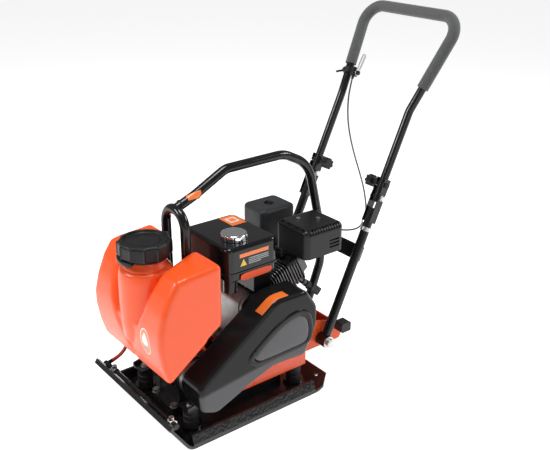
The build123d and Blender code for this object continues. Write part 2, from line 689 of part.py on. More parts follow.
with BuildPart() as fuel_tank:
    block(*FUEL_X, *FUEL_Y, FUEL_Z[1], FUEL_Z[2])
    fillet(fuel_tank.edges().filter_by(Axis.Z), 22)
    fillet(fuel_tank.faces().sort_by(Axis.Z)[-1].edges(), 11)
    with BuildSketch(Plane.XY.offset(FUEL_Z[1] - 5)):
        with Locations(((FUEL_X[0] + FUEL_X[1]) / 2, (FUEL_Y[0] + FUEL_Y[1]) / 2)):
            RectangleRounded(FUEL_X[1] - FUEL_X[0] + 5, FUEL_Y[1] - FUEL_Y[0] + 5, 24)
    extrude(amount=5)
    with BuildSketch(Plane.XY.offset(FUEL_Z[0])):
        with Locations(((FUEL_X[0] + FUEL_X[1]) / 2, (FUEL_Y[0] + FUEL_Y[1]) / 2)):
            RectangleRounded(FUEL_X[1] - FUEL_X[0] - 6, FUEL_Y[1] - FUEL_Y[0] - 6, 20)
    extrude(amount=FUEL_Z[1] - FUEL_Z[0] - 4)
    rod_z(FUEL_Z[2] - 3, FUEL_Z[2] + 10, *FUEL_CAP, 22)
    with BuildSketch(Plane.XY.offset(FUEL_Z[0] + 3)):
        with Locations(((FUEL_X[0] + FUEL_X[1]) / 2, (FUEL_Y[0] + FUEL_Y[1]) / 2)):
            RectangleRounded(FUEL_X[1] - FUEL_X[0] - 14, FUEL_Y[1] - FUEL_Y[0] - 14, 16)
    extrude(amount=FUEL_Z[2] - FUEL_Z[0] - 6, mode=Mode.SUBTRACT)
    rod_z(FUEL_Z[2] - 10, FUEL_Z[2] + 12, *FUEL_CAP, 18, Mode.SUBTRACT)
save(fuel_tank, "fuel_tank")

with BuildPart() as fuel_cap:
    rod_z(FUEL_Z[2] + 1, FUEL_Z[2] + 19, *FUEL_CAP, FUEL_CAP_R)
    fillet(fuel_cap.faces().sort_by(Axis.Z)[-1].edges(), 6)
    rod_z(FUEL_Z[2] - 1, FUEL_Z[2] + 10.5, *FUEL_CAP, 22.6, Mode.SUBTRACT)
    with Locations((*FUEL_CAP, FUEL_Z[2] + 7)):
        with PolarLocations(FUEL_CAP_R + 1.5, 10):
            Cylinder(4, 18, mode=Mode.SUBTRACT)
save(fuel_cap, "fuel_cap")

with BuildPart() as tank_bracket:
    block(-96, 106, -24, 130, FUEL_Z[0] - 4, FUEL_Z[0])
    block(-66, 104, 60, 120, CASE_TOP + 8, FUEL_Z[0] - 3)
    block(-62, 100, 64, 116, CASE_TOP + 7, FUEL_Z[0] - 4, Mode.SUBTRACT)
    for x in (-76, 88):
        rod_z(358, FUEL_Z[0] - 3, x, -8, 20)
    # control plate with the cable stop, on top of the cylinder
    block(-30, 30, 212, 268, PLATE_Z - 3, PLATE_Z)
    block(-2, 12, 262, 266, PLATE_Z - 1, PLATE_Z + 28)
    rod_y(260, 268, 5, PLATE_Z + 18, 1.5, Mode.SUBTRACT)
    rod_z(PLATE_Z - 4, PLATE_Z + 1, -20, 235, 4, Mode.SUBTRACT)
    rod_z(364.5, PLATE_Z - 2, 22, 222, 5)
save(tank_bracket, "tank_bracket")

# ---- muffler --------------------------------------------------------------------------

def muffler_box(inset):
    """Louvred shield's outline with its slanting underside, shrunk by the inset."""
    with BuildSketch(Plane.YZ.offset(MUF_X[0] + inset)) as profile:
        with BuildLine():
            FilletPolyline(
                (MUF_Y[0] + inset, MUF_FOOT + inset),
                (MUF_Y[0] + inset, MUF_TOP - inset),
                (MUF_Y[1] - inset, MUF_TOP - inset),
                (MUF_Y[1] - inset, MUF_FOOT + inset),
                radius=[14 - inset, 14 - inset],
            )
            Line((MUF_Y[1] - inset, MUF_FOOT + inset), (MUF_Y[0] + inset, MUF_FOOT + inset))
        make_face()
    extrude(profile.sketch, amount=MUF_X[1] - MUF_X[0] - 2 * inset)


with BuildPart() as muffler_void:
    muffler_box(2.5)
    fillet(muffler_void.edges().filter_by(Axis.Z), 15)

with BuildPart() as muffler_shield:
    muffler_box(0)
    fillet(muffler_shield.edges().filter_by(Axis.Z), 18)
    add(muffler_void.part, mode=Mode.SUBTRACT)
    for step in range(9):
        y = MUF_Y[0] + 18 + 13 * step
        block(MUF_X[1] - 14, MUF_X[1] - 5, y - 2, y + 2, MUF_TOP - 4, MUF_TOP + 2, Mode.SUBTRACT)
        block(MUF_X[0] + 5, MUF_X[0] + 14, y - 2, y + 2, MUF_TOP - 4, MUF_TOP + 2, Mode.SUBTRACT)
    for step in range(8):
        x = MUF_X[0] + 23 + 13 * step
        block(x - 2, x + 2, MUF_Y[0] + 5, MUF_Y[0] + 14, MUF_TOP - 4, MUF_TOP + 2, Mode.SUBTRACT)
    for step in range(3):
        z = 440 + 10 * step
        block(MUF_X[1] - 3, MUF_X[1] + 2, 276, 314, z - 2.5, z + 2.5, Mode.SUBTRACT)
        block(70, 140, MUF_Y[1] - 3, MUF_Y[1] + 2, z - 2.5, z + 2.5, Mode.SUBTRACT)
    rod_z(370, 440, 62, 248, 15, Mode.SUBTRACT)
    for x, y in SHIELD_SCREWS:
        rod_z(MUF_TOP - 8, MUF_TOP + 2, x, y, 5, Mode.SUBTRACT)
save(muffler_shield, "muffler_shield")

with BuildPart() as muffler:
    block(48, 158, 206, 318, 434, 482)
    fillet(muffler.edges().filter_by(Axis.X), 16)
    fillet(muffler.faces().sort_by(Axis.X)[0].edges(), 6)
    fillet(muffler.faces().sort_by(Axis.X)[-1].edges(), 6)
    rod_z(380, 436, 62, 248, 13)
    with Locations((62, 248, 384)):
        Box(44, 36, 7)
save(muffler, "muffler")

# ---- air filter and carburettor -------------------------------------------------------
AIR_X = (-134.0, -26.0)
AIR_Y = (193.0, 317.0)
AIR_Z = (392.0, 503.0)

with BuildPart() as air_filter_cover:
    block(*AIR_X, *AIR_Y, *AIR_Z)
    fillet(air_filter_cover.edges().filter_by(Axis.Z), 20)
    fillet(air_filter_cover.faces().sort_by(Axis.Z)[-1].edges(), 12)
    with BuildSketch(Plane.XY.offset(AIR_Z[0] - 1)):
        with Locations((-80, 255)):
            RectangleRounded(AIR_X[1] - AIR_X[0] - 6, AIR_Y[1] - AIR_Y[0] - 6, 17)
    extrude(amount=AIR_Z[1] - AIR_Z[0] - 12, mode=Mode.SUBTRACT)
    with Locations((-80, 255, AIR_Z[1] + 1)):
        Sphere(16, mode=Mode.SUBTRACT)
    rod_z(AIR_Z[1] - 30, AIR_Z[1] - 10, -80, 255, 11)
    rod_z(AIR_Z[1] - 40, AIR_Z[1] + 2, -80, 255, 3.6, Mode.SUBTRACT)
save(air_filter_cover, "air_filter_cover")

with BuildPart() as air_filter_base:
    block(AIR_X[0] - 2, -32, AIR_Y[0] - 2, AIR_Y[1] + 2, AIR_Z[0] - 9, AIR_Z[0])
    fillet(air_filter_base.edges().filter_by(Axis.Z), 20)
    rod_z(AIR_Z[0] - 1, AIR_Z[1] - 8, -80, 255, 3)
    block(-98, -60, 232, 276, AIR_Z[0] - 16, AIR_Z[0] - 8)
save(air_filter_base, "air_filter_base")

with BuildPart() as wing_nut:
    rod_z(AIR_Z[1] - 8.5, AIR_Z[1] - 2, -80, 255, 6.5)
    for side in (-1, 1):
        with Locations(Location((-80 + side * 9, 255, AIR_Z[1] - 0.5), (0, side * 25, 0))):
            Box(9, 3.4, 9)
    rod_z(AIR_Z[1] - 12, AIR_Z[1] - 7.95, -80, 255, 3.05, Mode.SUBTRACT)
save(wing_nut, "wing_nut")

with BuildPart() as carburettor:
    block(-98, -60, 232, 276, 330, AIR_Z[0] - 16)
    rod_z(306, 331, -79, 254, 21)
    block(-60, -57.4, 240, 268, 344, 366)
    rod_y(222, 233, -70, 346, 6)
save(carburettor, "carburettor")

with BuildPart() as choke_lever:
    with Locations(Location((-104, 243, 352), (0, 90, 0))):
        Cylinder(8, 5)
    block(-106.5, -101.5, 239, 247, 352, 376)
    rod_x(-112, -101.5, 243, 375, 4)
save(choke_lever, "choke_lever")

with BuildPart() as fuel_valve_lever:
    with Locations(Location((-104, 262, 318), (0, 90, 0))):
        Cylinder(8, 5)
    block(-106.5, -101.5, 258, 286, 314.5, 321.5)
save(fuel_valve_lever, "fuel_valve_lever")

SPEED_PIVOT = (-20.0, 235.0)
SPEED_ARM = 25.0

with BuildPart() as speed_lever:
    rod_z(PLATE_Z + 0.4, PLATE_Z + 4, *SPEED_PIVOT, 8)
    block(
        SPEED_PIVOT[0], SPEED_PIVOT[0] + SPEED_ARM, SPEED_PIVOT[1] - 4, SPEED_PIVOT[1] + 4,
        PLATE_Z + 0.4, PLATE_Z + 4,
    )
    rod_z(PLATE_Z + 0.4, PLATE_Z + 22, SPEED_PIVOT[0] + SPEED_ARM, SPEED_PIVOT[1], 4)
    rod_z(PLATE_Z - 6, PLATE_Z + 1, *SPEED_PIVOT, 4 - RUN)
save(speed_lever, "speed_lever")

with BuildPart() as switch_knob:
    rod_x(-154, -146.3, 199, 252, 9)
    block(-160, -153, 190.5, 207.5, 249, 255)
save(switch_knob, "switch_knob")

# ---- belt cover -----------------------------------------------------------------------
with BuildPart() as belt_cover:
    with BuildSketch(Plane.YZ.offset(COVER_BACK + COVER_WALL)):
        cover_outline()
    extrude(amount=COVER_FACE - COVER_BACK - COVER_WALL)
    fillet(belt_cover.faces().sort_by(Axis.X)[-1].edges(), 14)
    with BuildSketch(Plane.YZ.offset(COVER_BACK + COVER_WALL)):
        cover_outline()
        offset(amount=-COVER_WALL, mode=Mode.REPLACE)
    extrude(amount=COVER_FACE - COVER_BACK - 22, mode=Mode.SUBTRACT)
    with BuildSketch(Plane.YZ.offset(COVER_BACK + COVER_WALL)):
        cover_outline()
        offset(amount=-13, mode=Mode.REPLACE)
    extrude(amount=COVER_FACE - COVER_BACK - 2 * COVER_WALL, mode=Mode.SUBTRACT)
    # pressed-in panel: its back stands inside the cavity, its front is below the face
    with BuildSketch(Plane.YZ.offset(COVER_FACE - 9)):
        panel_corners = ((-40, 188), (60, 266), (150, 300), (188, 246), (186, 184), (0, 172))
        Polygon(*panel_corners, align=None)
        fillet(vertices(), 12)
    extrude(amount=8)
    with BuildSketch(Plane.YZ.offset(COVER_FACE - 6)):
        Polygon(*panel_corners, align=None)
        fillet(vertices(), 12)
        offset(amount=-COVER_WALL, mode=Mode.REPLACE)
    extrude(amount=10, mode=Mode.SUBTRACT)
save(belt_cover, "belt_cover")

with BuildPart() as belt_cover_back:
    with BuildSketch(Plane.YZ.offset(COVER_BACK)):
        cover_outline()
        offset(amount=-0.5, mode=Mode.REPLACE)
        with Locations((CRANK_Y, CRANK_Z)):
            Circle(54, mode=Mode.SUBTRACT)
        with Locations((EXCITER_Y, EXCITER_Z)):
            Circle(30, mode=Mode.SUBTRACT)
    extrude(amount=COVER_WALL)
    for y, z in ((30, 240), (150, 190), (40, 170)):
        rod_x(CASE_X[1] + 12, COVER_BACK + 1, y, z, 7)
save(belt_cover_back, "belt_cover_back")

# ---- lift frame -----------------------------------------------------------------------
HOOP_HALF = 48.0
HOOP_TOP = 598.0
rear_post = [
    (0, HOOP_Y, HOOP_TOP), (0, -60, 622), (0, 44, 676), (0, 246, 678), (0, 340, 630),
    (0, 390, 420), (0, 396, 300), (0, 326, 114),
]

with BuildPart() as lift_frame:
    hoop = [
        (-HOOP_HALF, -42, 152), (-HOOP_HALF, HOOP_Y, 320), (-HOOP_HALF, HOOP_Y, HOOP_TOP),
        (HOOP_HALF, HOOP_Y, HOOP_TOP), (HOOP_HALF, HOOP_Y, 320), (HOOP_HALF, -42, 152),
    ]
    tube_along(hoop, [90, 46, 46, 90], LIFT_TUBE, 0)
    tube_along(rear_post, [40, 60, 90, 110, 120, 90], LIFT_TUBE, 0)
    for x in (-HOOP_HALF, HOOP_HALF):
        block(x - 22, x + 22, -50, 4, DECK_Z + DECK_T, DECK_Z + DECK_T + 7)
    block(-30, 30, 300, 352, 104, 114)
save(lift_frame, "lift_frame")

# ---- water tank -----------------------------------------------------------------------
TANK_WALL = 4.0


def tank_body(inset):
    """Blow-moulded tank: side profile cut to the front profile, plus the cap boss."""
    half = TANK_HALF - inset
    with BuildSketch(Plane.YZ.offset(-half)) as side_profile:
        with BuildLine():
            FilletPolyline(
                (-94 - inset, 419), (-94 - inset, 318 + 0.8 * inset), (-262 + inset, 194 + inset),
                (-289 + inset, 336), (-226 + 0.6 * inset, 484 - inset),
                (-108 - inset, 486 - inset), (-94 - inset, 440),
                radius=[20, 20, 50, 24, 8],
            )
            Line((-94 - inset, 440), (-94 - inset, 419))
        make_face()
    extrude(side_profile.sketch, amount=2 * half)
    with BuildSketch(Plane.XZ.offset(60)) as front_profile:
        with BuildLine():
            FilletPolyline(
                (0, 150 + inset), (half, 150 + inset), (half, 488 - inset), (0, 488 - inset),
                radius=[24, 24],
            )
            Line((0, 488 - inset), (0, 150 + inset))
        make_face()
        mirror(about=Plane.YZ)
    extrude(front_profile.sketch, amount=240, mode=Mode.INTERSECT)
    recess = 68 + inset
    block(-recess, recess, HOOP_Y - 17 - inset, -60, 150, 500, Mode.SUBTRACT)
    rod_z(330 + inset, 492 - inset, 0, CAP_Y, CAP_R - 2 - inset)


with BuildPart() as tank_void:
    tank_body(TANK_WALL)

with BuildPart() as water_tank:
    tank_body(0)
    rod_z(490, 508, 0, CAP_Y, 52)
    add(tank_void.part, mode=Mode.SUBTRACT)
    rod_z(480, 512, 0, CAP_Y, 47, Mode.SUBTRACT)
save(water_tank, "water_tank")

with BuildPart() as water_cap:
    rod_z(499, 539, 0, CAP_Y, CAP_R - 4)
    fillet(water_cap.faces().sort_by(Axis.Z)[-1].edges(), 8)
    with Locations((0, CAP_Y, 512)):
        with PolarLocations(CAP_R - 4, 40):
            Cylinder(2.2, 27)
    rod_z(525, 541, 0, CAP_Y, 46, Mode.SUBTRACT)
    block(-40, 40, CAP_Y - 5, CAP_Y + 5, 524, 537)
    rod_z(498, 521, 0, CAP_Y, 54, Mode.SUBTRACT)
save(water_cap, "water_cap")

with BuildPart() as cap_tether:
    rod_z(492.3, 497, 0, CAP_Y, 64)
    with Locations((0, CAP_Y - 66, 494.6)):
        Box(34, 12, 4.7)
    with Locations((22, CAP_Y + 66, 494.6)):
        Box(20, 18, 4.7)
    rod_z(491, 500, 0, CAP_Y, 53, Mode.SUBTRACT)
save(cap_tether, "cap_tether")

# ---- water valve and hose -------------------------------------------------------------
VALVE = (-144.0, -217.0, 186.0)

with BuildPart() as water_valve:
    rod_z(VALVE[2] - 34, VALVE[2] + 34, VALVE[0], VALVE[1], 8)
    block(
        VALVE[0] - 11, VALVE[0] + 11, VALVE[1] - 11, VALVE[1] + 11, VALVE[2] - 10, VALVE[2] + 14
    )
    rod_x(VALVE[0] - 22, VALVE[0] - 10, VALVE[1], VALVE[2] + 2, 6)
save(water_valve, "water_valve")

with BuildPart() as valve_lever:
    rod_x(VALVE[0] - 28, VALVE[0] - 22.4, VALVE[1], VALVE[2] + 2, 8)
    block(
        VALVE[0] - 28, VALVE[0] - 24, VALVE[1] - 5, VALVE[1] + 5, VALVE[2] + 2, VALVE[2] + 32
    )
save(valve_lever, "valve_lever")

hose_end = INLET + INLET_AXIS * 26
hose_turn = hose_end + INLET_AXIS * 40
hose_route = [
    (VALVE[0], VALVE[1] - 1, VALVE[2] - 34.3),
    (hose_turn.X, hose_turn.Y, hose_turn.Z),
    (hose_end.X, hose_end.Y, hose_end.Z),
]
hose_bends = easy_bends(hose_route)
print("water hose radii", [round(r, 1) for r in hose_bends])
with BuildPart() as water_hose:
    tube_along(hose_route, hose_bends, 11, 0)
save(water_hose, "water_hose")

# ---- handle, lower half ---------------------------------------------------------------
HUB_R = 20.0
BRACE_AT = 258.0
EAR_T = 3.0
EAR_WIDE = 26.0

with BuildPart() as handle_lower:
    for side in (-1, 1):
        x = side * ARM_X
        with BuildSketch(arm_plane(0, x)):
            Circle(LOWER_TUBE / 2)
        extrude(amount=LOWER_END)
        rod_x(x - 15, x + 15, PIVOT_Y, PIVOT_Z, HUB_R)
        for ear in (-1, 1):
            ear_x = x + ear * (LOWER_TUBE / 2 + EAR_T / 2 - 0.3)
            with BuildSketch(arm_plane(LOWER_END - 44, ear_x)):
                Rectangle(EAR_T, EAR_WIDE)
            extrude(amount=KNOB_AT + 18 - LOWER_END + 44)
            fold_point = arm_point(FOLD_AT)
            rod_x(ear_x - 5, ear_x + 5, fold_point[1], fold_point[2], 5.05, Mode.SUBTRACT)
            # open-ended slot, so that the loosened knob's stud can swing out forwards
            with BuildSketch(arm_plane(KNOB_AT - 7.5, ear_x)):
                with Locations((0, -12)):
                    Rectangle(EAR_T + 2, 36)
            extrude(amount=13, mode=Mode.SUBTRACT)
    for side in (-1, 1):
        x = side * ARM_X
        rod_x(x - 20, x + 20, PIVOT_Y, PIVOT_Z, PIVOT_BUSH_R, Mode.SUBTRACT)
    # flat cross brace welded behind the arms
    brace = arm_plane(BRACE_AT, 0)
    with BuildSketch(brace):
        with Locations((0, LOWER_TUBE / 2 + 2)):
            Rectangle(2 * ARM_X + 12, 5)
    extrude(amount=46)
save(handle_lower, "handle_lower")

# ---- handle, upper half ---------------------------------------------------------------
BEND = (ARM_X, 598.0, 777.0)
TOP_X, TOP_Y, TOP_Z = 192.0, 745.0, 1033.0
upper_foot = arm_point(FOLD_AT - 15)
upper_route = [
    upper_foot, BEND, (TOP_X, TOP_Y, TOP_Z), (-TOP_X, TOP_Y, TOP_Z),
    (-BEND[0], BEND[1], BEND[2]), (-upper_foot[0], upper_foot[1], upper_foot[2]),
]
FOAM_R = 17.5
FOAM_FROM = (0.32, 0.245)   # left and right ends of the foam, as shares of the upper runs

with BuildPart() as handle_upper:
    tube_along(upper_route, [90, 58, 58, 90], UPPER_TUBE, UPPER_TUBE - 2 * TUBE_WALL)
    fold_y, fold_z = arm_point(FOLD_AT)[1:]
    knob_y, knob_z = arm_point(KNOB_AT)[1:]
    for side in (-1, 1):
        x = side * ARM_X
        rod_x(x - 14, x + 14, fold_y, fold_z, 5.05, Mode.SUBTRACT)
        rod_x(x - 14, x + 14, knob_y, knob_z, 4.3, Mode.SUBTRACT)
save(handle_upper, "handle_upper")

with BuildPart() as foam_grip:
    left_end, right_end = (
        Vector(*BEND) + (Vector(TOP_X, TOP_Y, TOP_Z) - Vector(*BEND)) * share for share in FOAM_FROM
    )
    foam_route = [
        (right_end.X, right_end.Y, right_end.Z), (TOP_X, TOP_Y, TOP_Z),
        (-TOP_X, TOP_Y, TOP_Z), (-left_end.X, left_end.Y, left_end.Z),
    ]
    tube_along(foam_route, [58, 58], 2 * FOAM_R, UPPER_TUBE + 0.4)
save(foam_grip, "foam_grip")

with BuildPart() as fold_bolts:
    for side in (-1, 1):
        x = side * ARM_X
        rod_x(x - 24, x + 19, fold_y, fold_z, 5)
        rod_x(x - 19.5, x - 17, fold_y, fold_z, 9)
        rod_x(x + 17, x + 19.5, fold_y, fold_z, 9)
        hex_x(x - 24, x - 19.5, fold_y, fold_z, 15)
        hex_x(x + 19.5, x + 25, fold_y, fold_z, 15)
save(fold_bolts, "fold_bolts")

KNOB_R = 17.0


def locking_knob(side):
    """Lobed knob inboard of the arm, its stud through the fold joint and its end nut."""
    x = side * ARM_X
    rod_x(*sorted((x + side * 22, x - side * 56)), knob_y, knob_z, 4.2)
    rod_x(*sorted((x - side * 17.4, x - side * 34)), knob_y, knob_z, 7.5)
    hex_x(*sorted((x + side * 17.6, x + side * 23)), knob_y, knob_z, 13)
    with Locations(Location((x - side * 45, knob_y, knob_z), (0, 90, 0))):
        Cylinder(KNOB_R - 3, 22)
        with PolarLocations(KNOB_R - 4.5, 7):
            Cylinder(5.5, 22)


for knob_side, knob_name in ((-1, "knob_left"), (1, "knob_right")):
    with BuildPart() as knob:
        locking_knob(knob_side)
    save(knob, knob_name)

# ---- throttle on the left arm ---------------------------------------------------------
run_start, run_end = Vector(-BEND[0], BEND[1], BEND[2]), Vector(-TOP_X, TOP_Y, TOP_Z)
run_axis = (run_end - run_start).normalized()


def left_arm_plane(distance, inboard):
    """Plane across the left arm above its bend; distance is measured from the bend."""
    centre = run_start + run_axis * distance + Vector(inboard, 0, 0)
    return Plane(origin=centre, x_dir=(1, 0, 0.06), z_dir=run_axis)


THROTTLE_AT = 64.0
LEVER_X = 38.0              # lever's plane, inboard of the tube's centre
LEVER_PIN = left_arm_plane(THROTTLE_AT + 8, LEVER_X).origin

with BuildPart() as throttle_body:
    with BuildSketch(left_arm_plane(THROTTLE_AT, 0)):
        Circle(17.5)
        Circle(UPPER_TUBE / 2 + 0.1, mode=Mode.SUBTRACT)
    extrude(amount=16)
    with BuildSketch(left_arm_plane(THROTTLE_AT - 4, 25)):
        RectangleRounded(18, 24, 4)
    extrude(amount=26)
    with BuildSketch(left_arm_plane(THROTTLE_AT - 14, 26)):
        Circle(4.2)
    extrude(amount=12)
    rod_x(LEVER_PIN.X - 6, LEVER_PIN.X + 9, LEVER_PIN.Y, LEVER_PIN.Z, 3.5)
    rod_x(LEVER_PIN.X + 4.2, LEVER_PIN.X + 8, LEVER_PIN.Y, LEVER_PIN.Z, 7)
    with BuildSketch(left_arm_plane(THROTTLE_AT + 8, -20)):
        Rectangle(10, 9)
    extrude(amount=6, both=True)
    screw_x = left_arm_plane(THROTTLE_AT + 8, -22).origin.X
    rod_y(LEVER_PIN.Y - 31, LEVER_PIN.Y + 11, screw_x, LEVER_PIN.Z - 2, 3.2)
save(throttle_body, "throttle_body")

with BuildPart() as throttle_lever:
    lever_plane = Plane(origin=LEVER_PIN, x_dir=run_axis, z_dir=(1, 0, 0))
    with BuildSketch(lever_plane):
        Circle(9)
        with Locations((30, 0)):
            SlotOverall(66, 15)
        with Locations((36, 0)):
            SlotOverall(44, 7, mode=Mode.SUBTRACT)
        Circle(3.5 + RUN, mode=Mode.SUBTRACT)
    extrude(amount=3.4)
save(throttle_lever, "throttle_lever")

# ---- throttle cable -------------------------------------------------------------------
CABLE_D = 5.0
cable_top = left_arm_plane(THROTTLE_AT - 15.2, 26).origin
clip_point = (120, 460, 456)
clip_entry = (119.4, 461.1, 457)
upper_cable_route = [
    (cable_top.X, cable_top.Y, cable_top.Z), (-122.5, 607, 780), (-114, 596, 738),
    (-97, 583, 695), (-70, 570, 652), (-35, 556, 609), (5, 541, 570), (45, 524, 533),
    (78, 504, 501), (101, 486, 477), (114, 470.5, 464.5), clip_entry,
]
lower_cable_route = [
    clip_point, (122, 446, 445), (118, 424, 438), (104, 392, 439), (80, 364, 446),
    (50, 346, 452), (22, 328, 449), (9, 301, 436), (5, 267.8, PLATE_Z + 18),
]
for name, cable_route in (
    ("throttle_cable_upper", upper_cable_route),
    ("throttle_cable_lower", lower_cable_route),
):
    cable_bends = easy_bends(cable_route)
    with BuildPart() as cable:
        tube_along(cable_route, cable_bends, CABLE_D, 0)
    print(name, "radii", [round(r, 1) for r in cable_bends])
    print(name, "length", round(cable.part.volume / (pi * CABLE_D**2 / 4), 1))
    save(cable, name)

with BuildPart() as cable_clip:
    with BuildSketch(arm_plane(352, ARM_X)):
        Circle(LOWER_TUBE / 2 + 2.5)
        Circle(LOWER_TUBE / 2, mode=Mode.SUBTRACT)
    extrude(amount=12)
    block(125.5, 131.5, 440, 463, 446, 456)
    clip_axis = Vector(9, -26, -21)
    with Locations(Plane(origin=clip_point, z_dir=clip_axis).location):
        Cylinder(7.5, 12)
        Cylinder(5.2, 40, mode=Mode.SUBTRACT)
    with BuildSketch(arm_plane(320, ARM_X)):
        Circle(LOWER_TUBE / 2)
    extrude(amount=90, mode=Mode.SUBTRACT)
save(cable_clip, "cable_clip")
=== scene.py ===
"""Looks of a petrol plate compactor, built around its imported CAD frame.

Metres, +Z up, -Y is the toe with the water tank, +Y the operator's handle, +X the belt cover.
"""

import math

import bmesh
import bpy
from mathutils import Matrix, Vector, noise
from mathutils.bvhtree import BVHTree


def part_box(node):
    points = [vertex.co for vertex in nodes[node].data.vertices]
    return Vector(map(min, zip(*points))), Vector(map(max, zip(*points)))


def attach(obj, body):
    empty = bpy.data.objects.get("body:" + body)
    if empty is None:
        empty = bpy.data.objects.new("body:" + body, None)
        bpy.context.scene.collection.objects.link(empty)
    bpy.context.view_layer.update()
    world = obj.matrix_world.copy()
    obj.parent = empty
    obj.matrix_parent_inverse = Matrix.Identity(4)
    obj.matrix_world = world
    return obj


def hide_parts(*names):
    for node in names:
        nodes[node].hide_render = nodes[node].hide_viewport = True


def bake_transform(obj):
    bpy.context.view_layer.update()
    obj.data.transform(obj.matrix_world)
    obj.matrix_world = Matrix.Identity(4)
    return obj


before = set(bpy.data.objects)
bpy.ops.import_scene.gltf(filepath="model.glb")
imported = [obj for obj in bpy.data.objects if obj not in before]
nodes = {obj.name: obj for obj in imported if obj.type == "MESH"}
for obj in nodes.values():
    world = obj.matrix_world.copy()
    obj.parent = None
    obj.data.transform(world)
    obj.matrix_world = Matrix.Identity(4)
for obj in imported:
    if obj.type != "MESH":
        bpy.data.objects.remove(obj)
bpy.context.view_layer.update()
MM = 0.001


# ---- materials ----------------------------------------------------------------------
class Finish:
    """A node material whose colour, gloss and grain vary over the surface."""

    def __init__(self, name, colour, rough, metal=0.0):
        self.material = bpy.data.materials.new(name)
        self.material.use_nodes = True
        self.tree = self.material.node_tree
        self.shader = self.tree.nodes["Principled BSDF"]
        self.colour = colour
        self.shader.inputs["Base Color"].default_value = (*colour, 1)
        self.shader.inputs["Roughness"].default_value = rough
        self.shader.inputs["Metallic"].default_value = metal
        self.rough = rough
        self.normal = None
        self.coords = self.node("ShaderNodeTexCoord").outputs["Object"]

    def node(self, kind, **settings):
        made = self.tree.nodes.new(kind)
        for key, value in settings.items():
            setattr(made, key, value)
        return made

    def link(self, source, target):
        self.tree.links.new(source, target)

    def noise(self, scale, detail=3.0, roughness=0.5, stretch=(1, 1, 1)):
        """Noise over the piece's own coordinates; scale is in cells per metre."""
        mapping = self.node("ShaderNodeMapping")
        mapping.inputs["Scale"].default_value = stretch
        self.link(self.coords, mapping.inputs["Vector"])
        texture = self.node("ShaderNodeTexNoise")
        texture.inputs["Scale"].default_value = scale
        texture.inputs["Detail"].default_value = detail
        texture.inputs["Roughness"].default_value = roughness
        self.link(mapping.outputs["Vector"], texture.inputs["Vector"])
        return texture.outputs["Fac"]

    def cells(self, scale, feature="F1"):
        texture = self.node("ShaderNodeTexVoronoi", feature=feature)
        texture.inputs["Scale"].default_value = scale
        self.link(self.coords, texture.inputs["Vector"])
        return texture.outputs["Distance"]

    def ranged(self, source, low, high, start=0.3, end=0.7):
        step = self.node("ShaderNodeMapRange")
        step.inputs["From Min"].default_value = start
        step.inputs["From Max"].default_value = end
        step.inputs["To Min"].default_value = low
        step.inputs["To Max"].default_value = high
        self.link(source, step.inputs["Value"])
        return step.outputs["Result"]

    def mottle(self, scale, amount, shade=(0, 0, 0)):
        """Blend the colour towards a shade in soft patches."""
        mix = self.node("ShaderNodeMix", data_type="RGBA")
        mix.inputs["A"].default_value = (*self.colour, 1)
        mix.inputs["B"].default_value = (*shade, 1)
        self.link(self.ranged(self.noise(scale, 4), 0, amount), mix.inputs["Factor"])
        self.link(mix.outputs["Result"], self.shader.inputs["Base Color"])
        return self

    def gloss(self, scale, spread, stretch=(1, 1, 1)):
        """Let the roughness wander either side of its value."""
        low, high = max(0.02, self.rough - spread), self.rough + spread
        self.link(self.ranged(self.noise(scale, 3, 0.5, stretch), low, high), self.shader.inputs["Roughness"])
        return self

    def bump(self, height, distance, strength=1.0):
        node = self.node("ShaderNodeBump")
        node.inputs["Distance"].default_value = distance
        node.inputs["Strength"].default_value = strength
        self.link(height, node.inputs["Height"])
        if self.normal is not None:
            self.link(self.normal, node.inputs["Normal"])
        self.normal = node.outputs["Normal"]
        self.link(self.normal, self.shader.inputs["Normal"])
        return self

    def rounded(self, radius):
        """Soften the edges of a machined or folded part."""
        node = self.node("ShaderNodeBevel", samples=4)
        node.inputs["Radius"].default_value = radius
        self.normal = node.outputs["Normal"]
        self.link(self.normal, self.shader.inputs["Normal"])
        return self

    def set(self, **values):
        for key, value in values.items():
            self.shader.inputs[key.replace("_", " ")].default_value = value
        return self


def powder_coat(name, colour, rough=0.24, peel=0.00003, edge=0.0012):
    """Stoved gloss powder coat with its faint orange peel."""
    made = Finish(name, colour, rough).rounded(edge)
    made.mottle(9, 0.10, tuple(c * 0.55 for c in colour))
    made.gloss(35, 0.05)
    made.bump(made.noise(420, 2), peel)
    return made.set(Coat_Weight=0.12, Coat_Roughness=0.08, Specular_IOR_Level=0.34).material


def moulding(name, colour, rough, grain=0.00004, grain_scale=1600, edge=0.0012):
    """Injection-moulded plastic with a spark-eroded grain."""
    made = Finish(name, colour, rough).rounded(edge)
    made.mottle(14, 0.12, tuple(min(1, c * 1.6 + 0.005) for c in colour))
    made.gloss(60, 0.06)
    made.bump(made.noise(grain_scale, 2, 0.6), grain)
    return made.set(Specular_IOR_Level=0.3).material


def plated(name, colour, rough, brush=(1, 1, 1), edge=0.0006):
    """Zinc-plated or machined steel."""
    made = Finish(name, colour, rough, 1.0).rounded(edge)
    made.mottle(60, 0.30, tuple(c * 0.62 for c in colour))
    made.gloss(220, 0.10, brush)
    made.bump(made.noise(900, 3, 0.6, brush), 0.00002)
    return made.material


def casting(name, colour, rough, metal=1.0, grain=0.00012):
    """Die-cast alloy with a fine sandy skin and darker patches."""
    made = Finish(name, colour, rough, metal).rounded(0.0011)
    made.mottle(45, 0.45, tuple(c * 0.5 for c in colour))
    made.gloss(150, 0.09)
    made.bump(made.noise(750, 4, 0.65), grain)
    return made.material


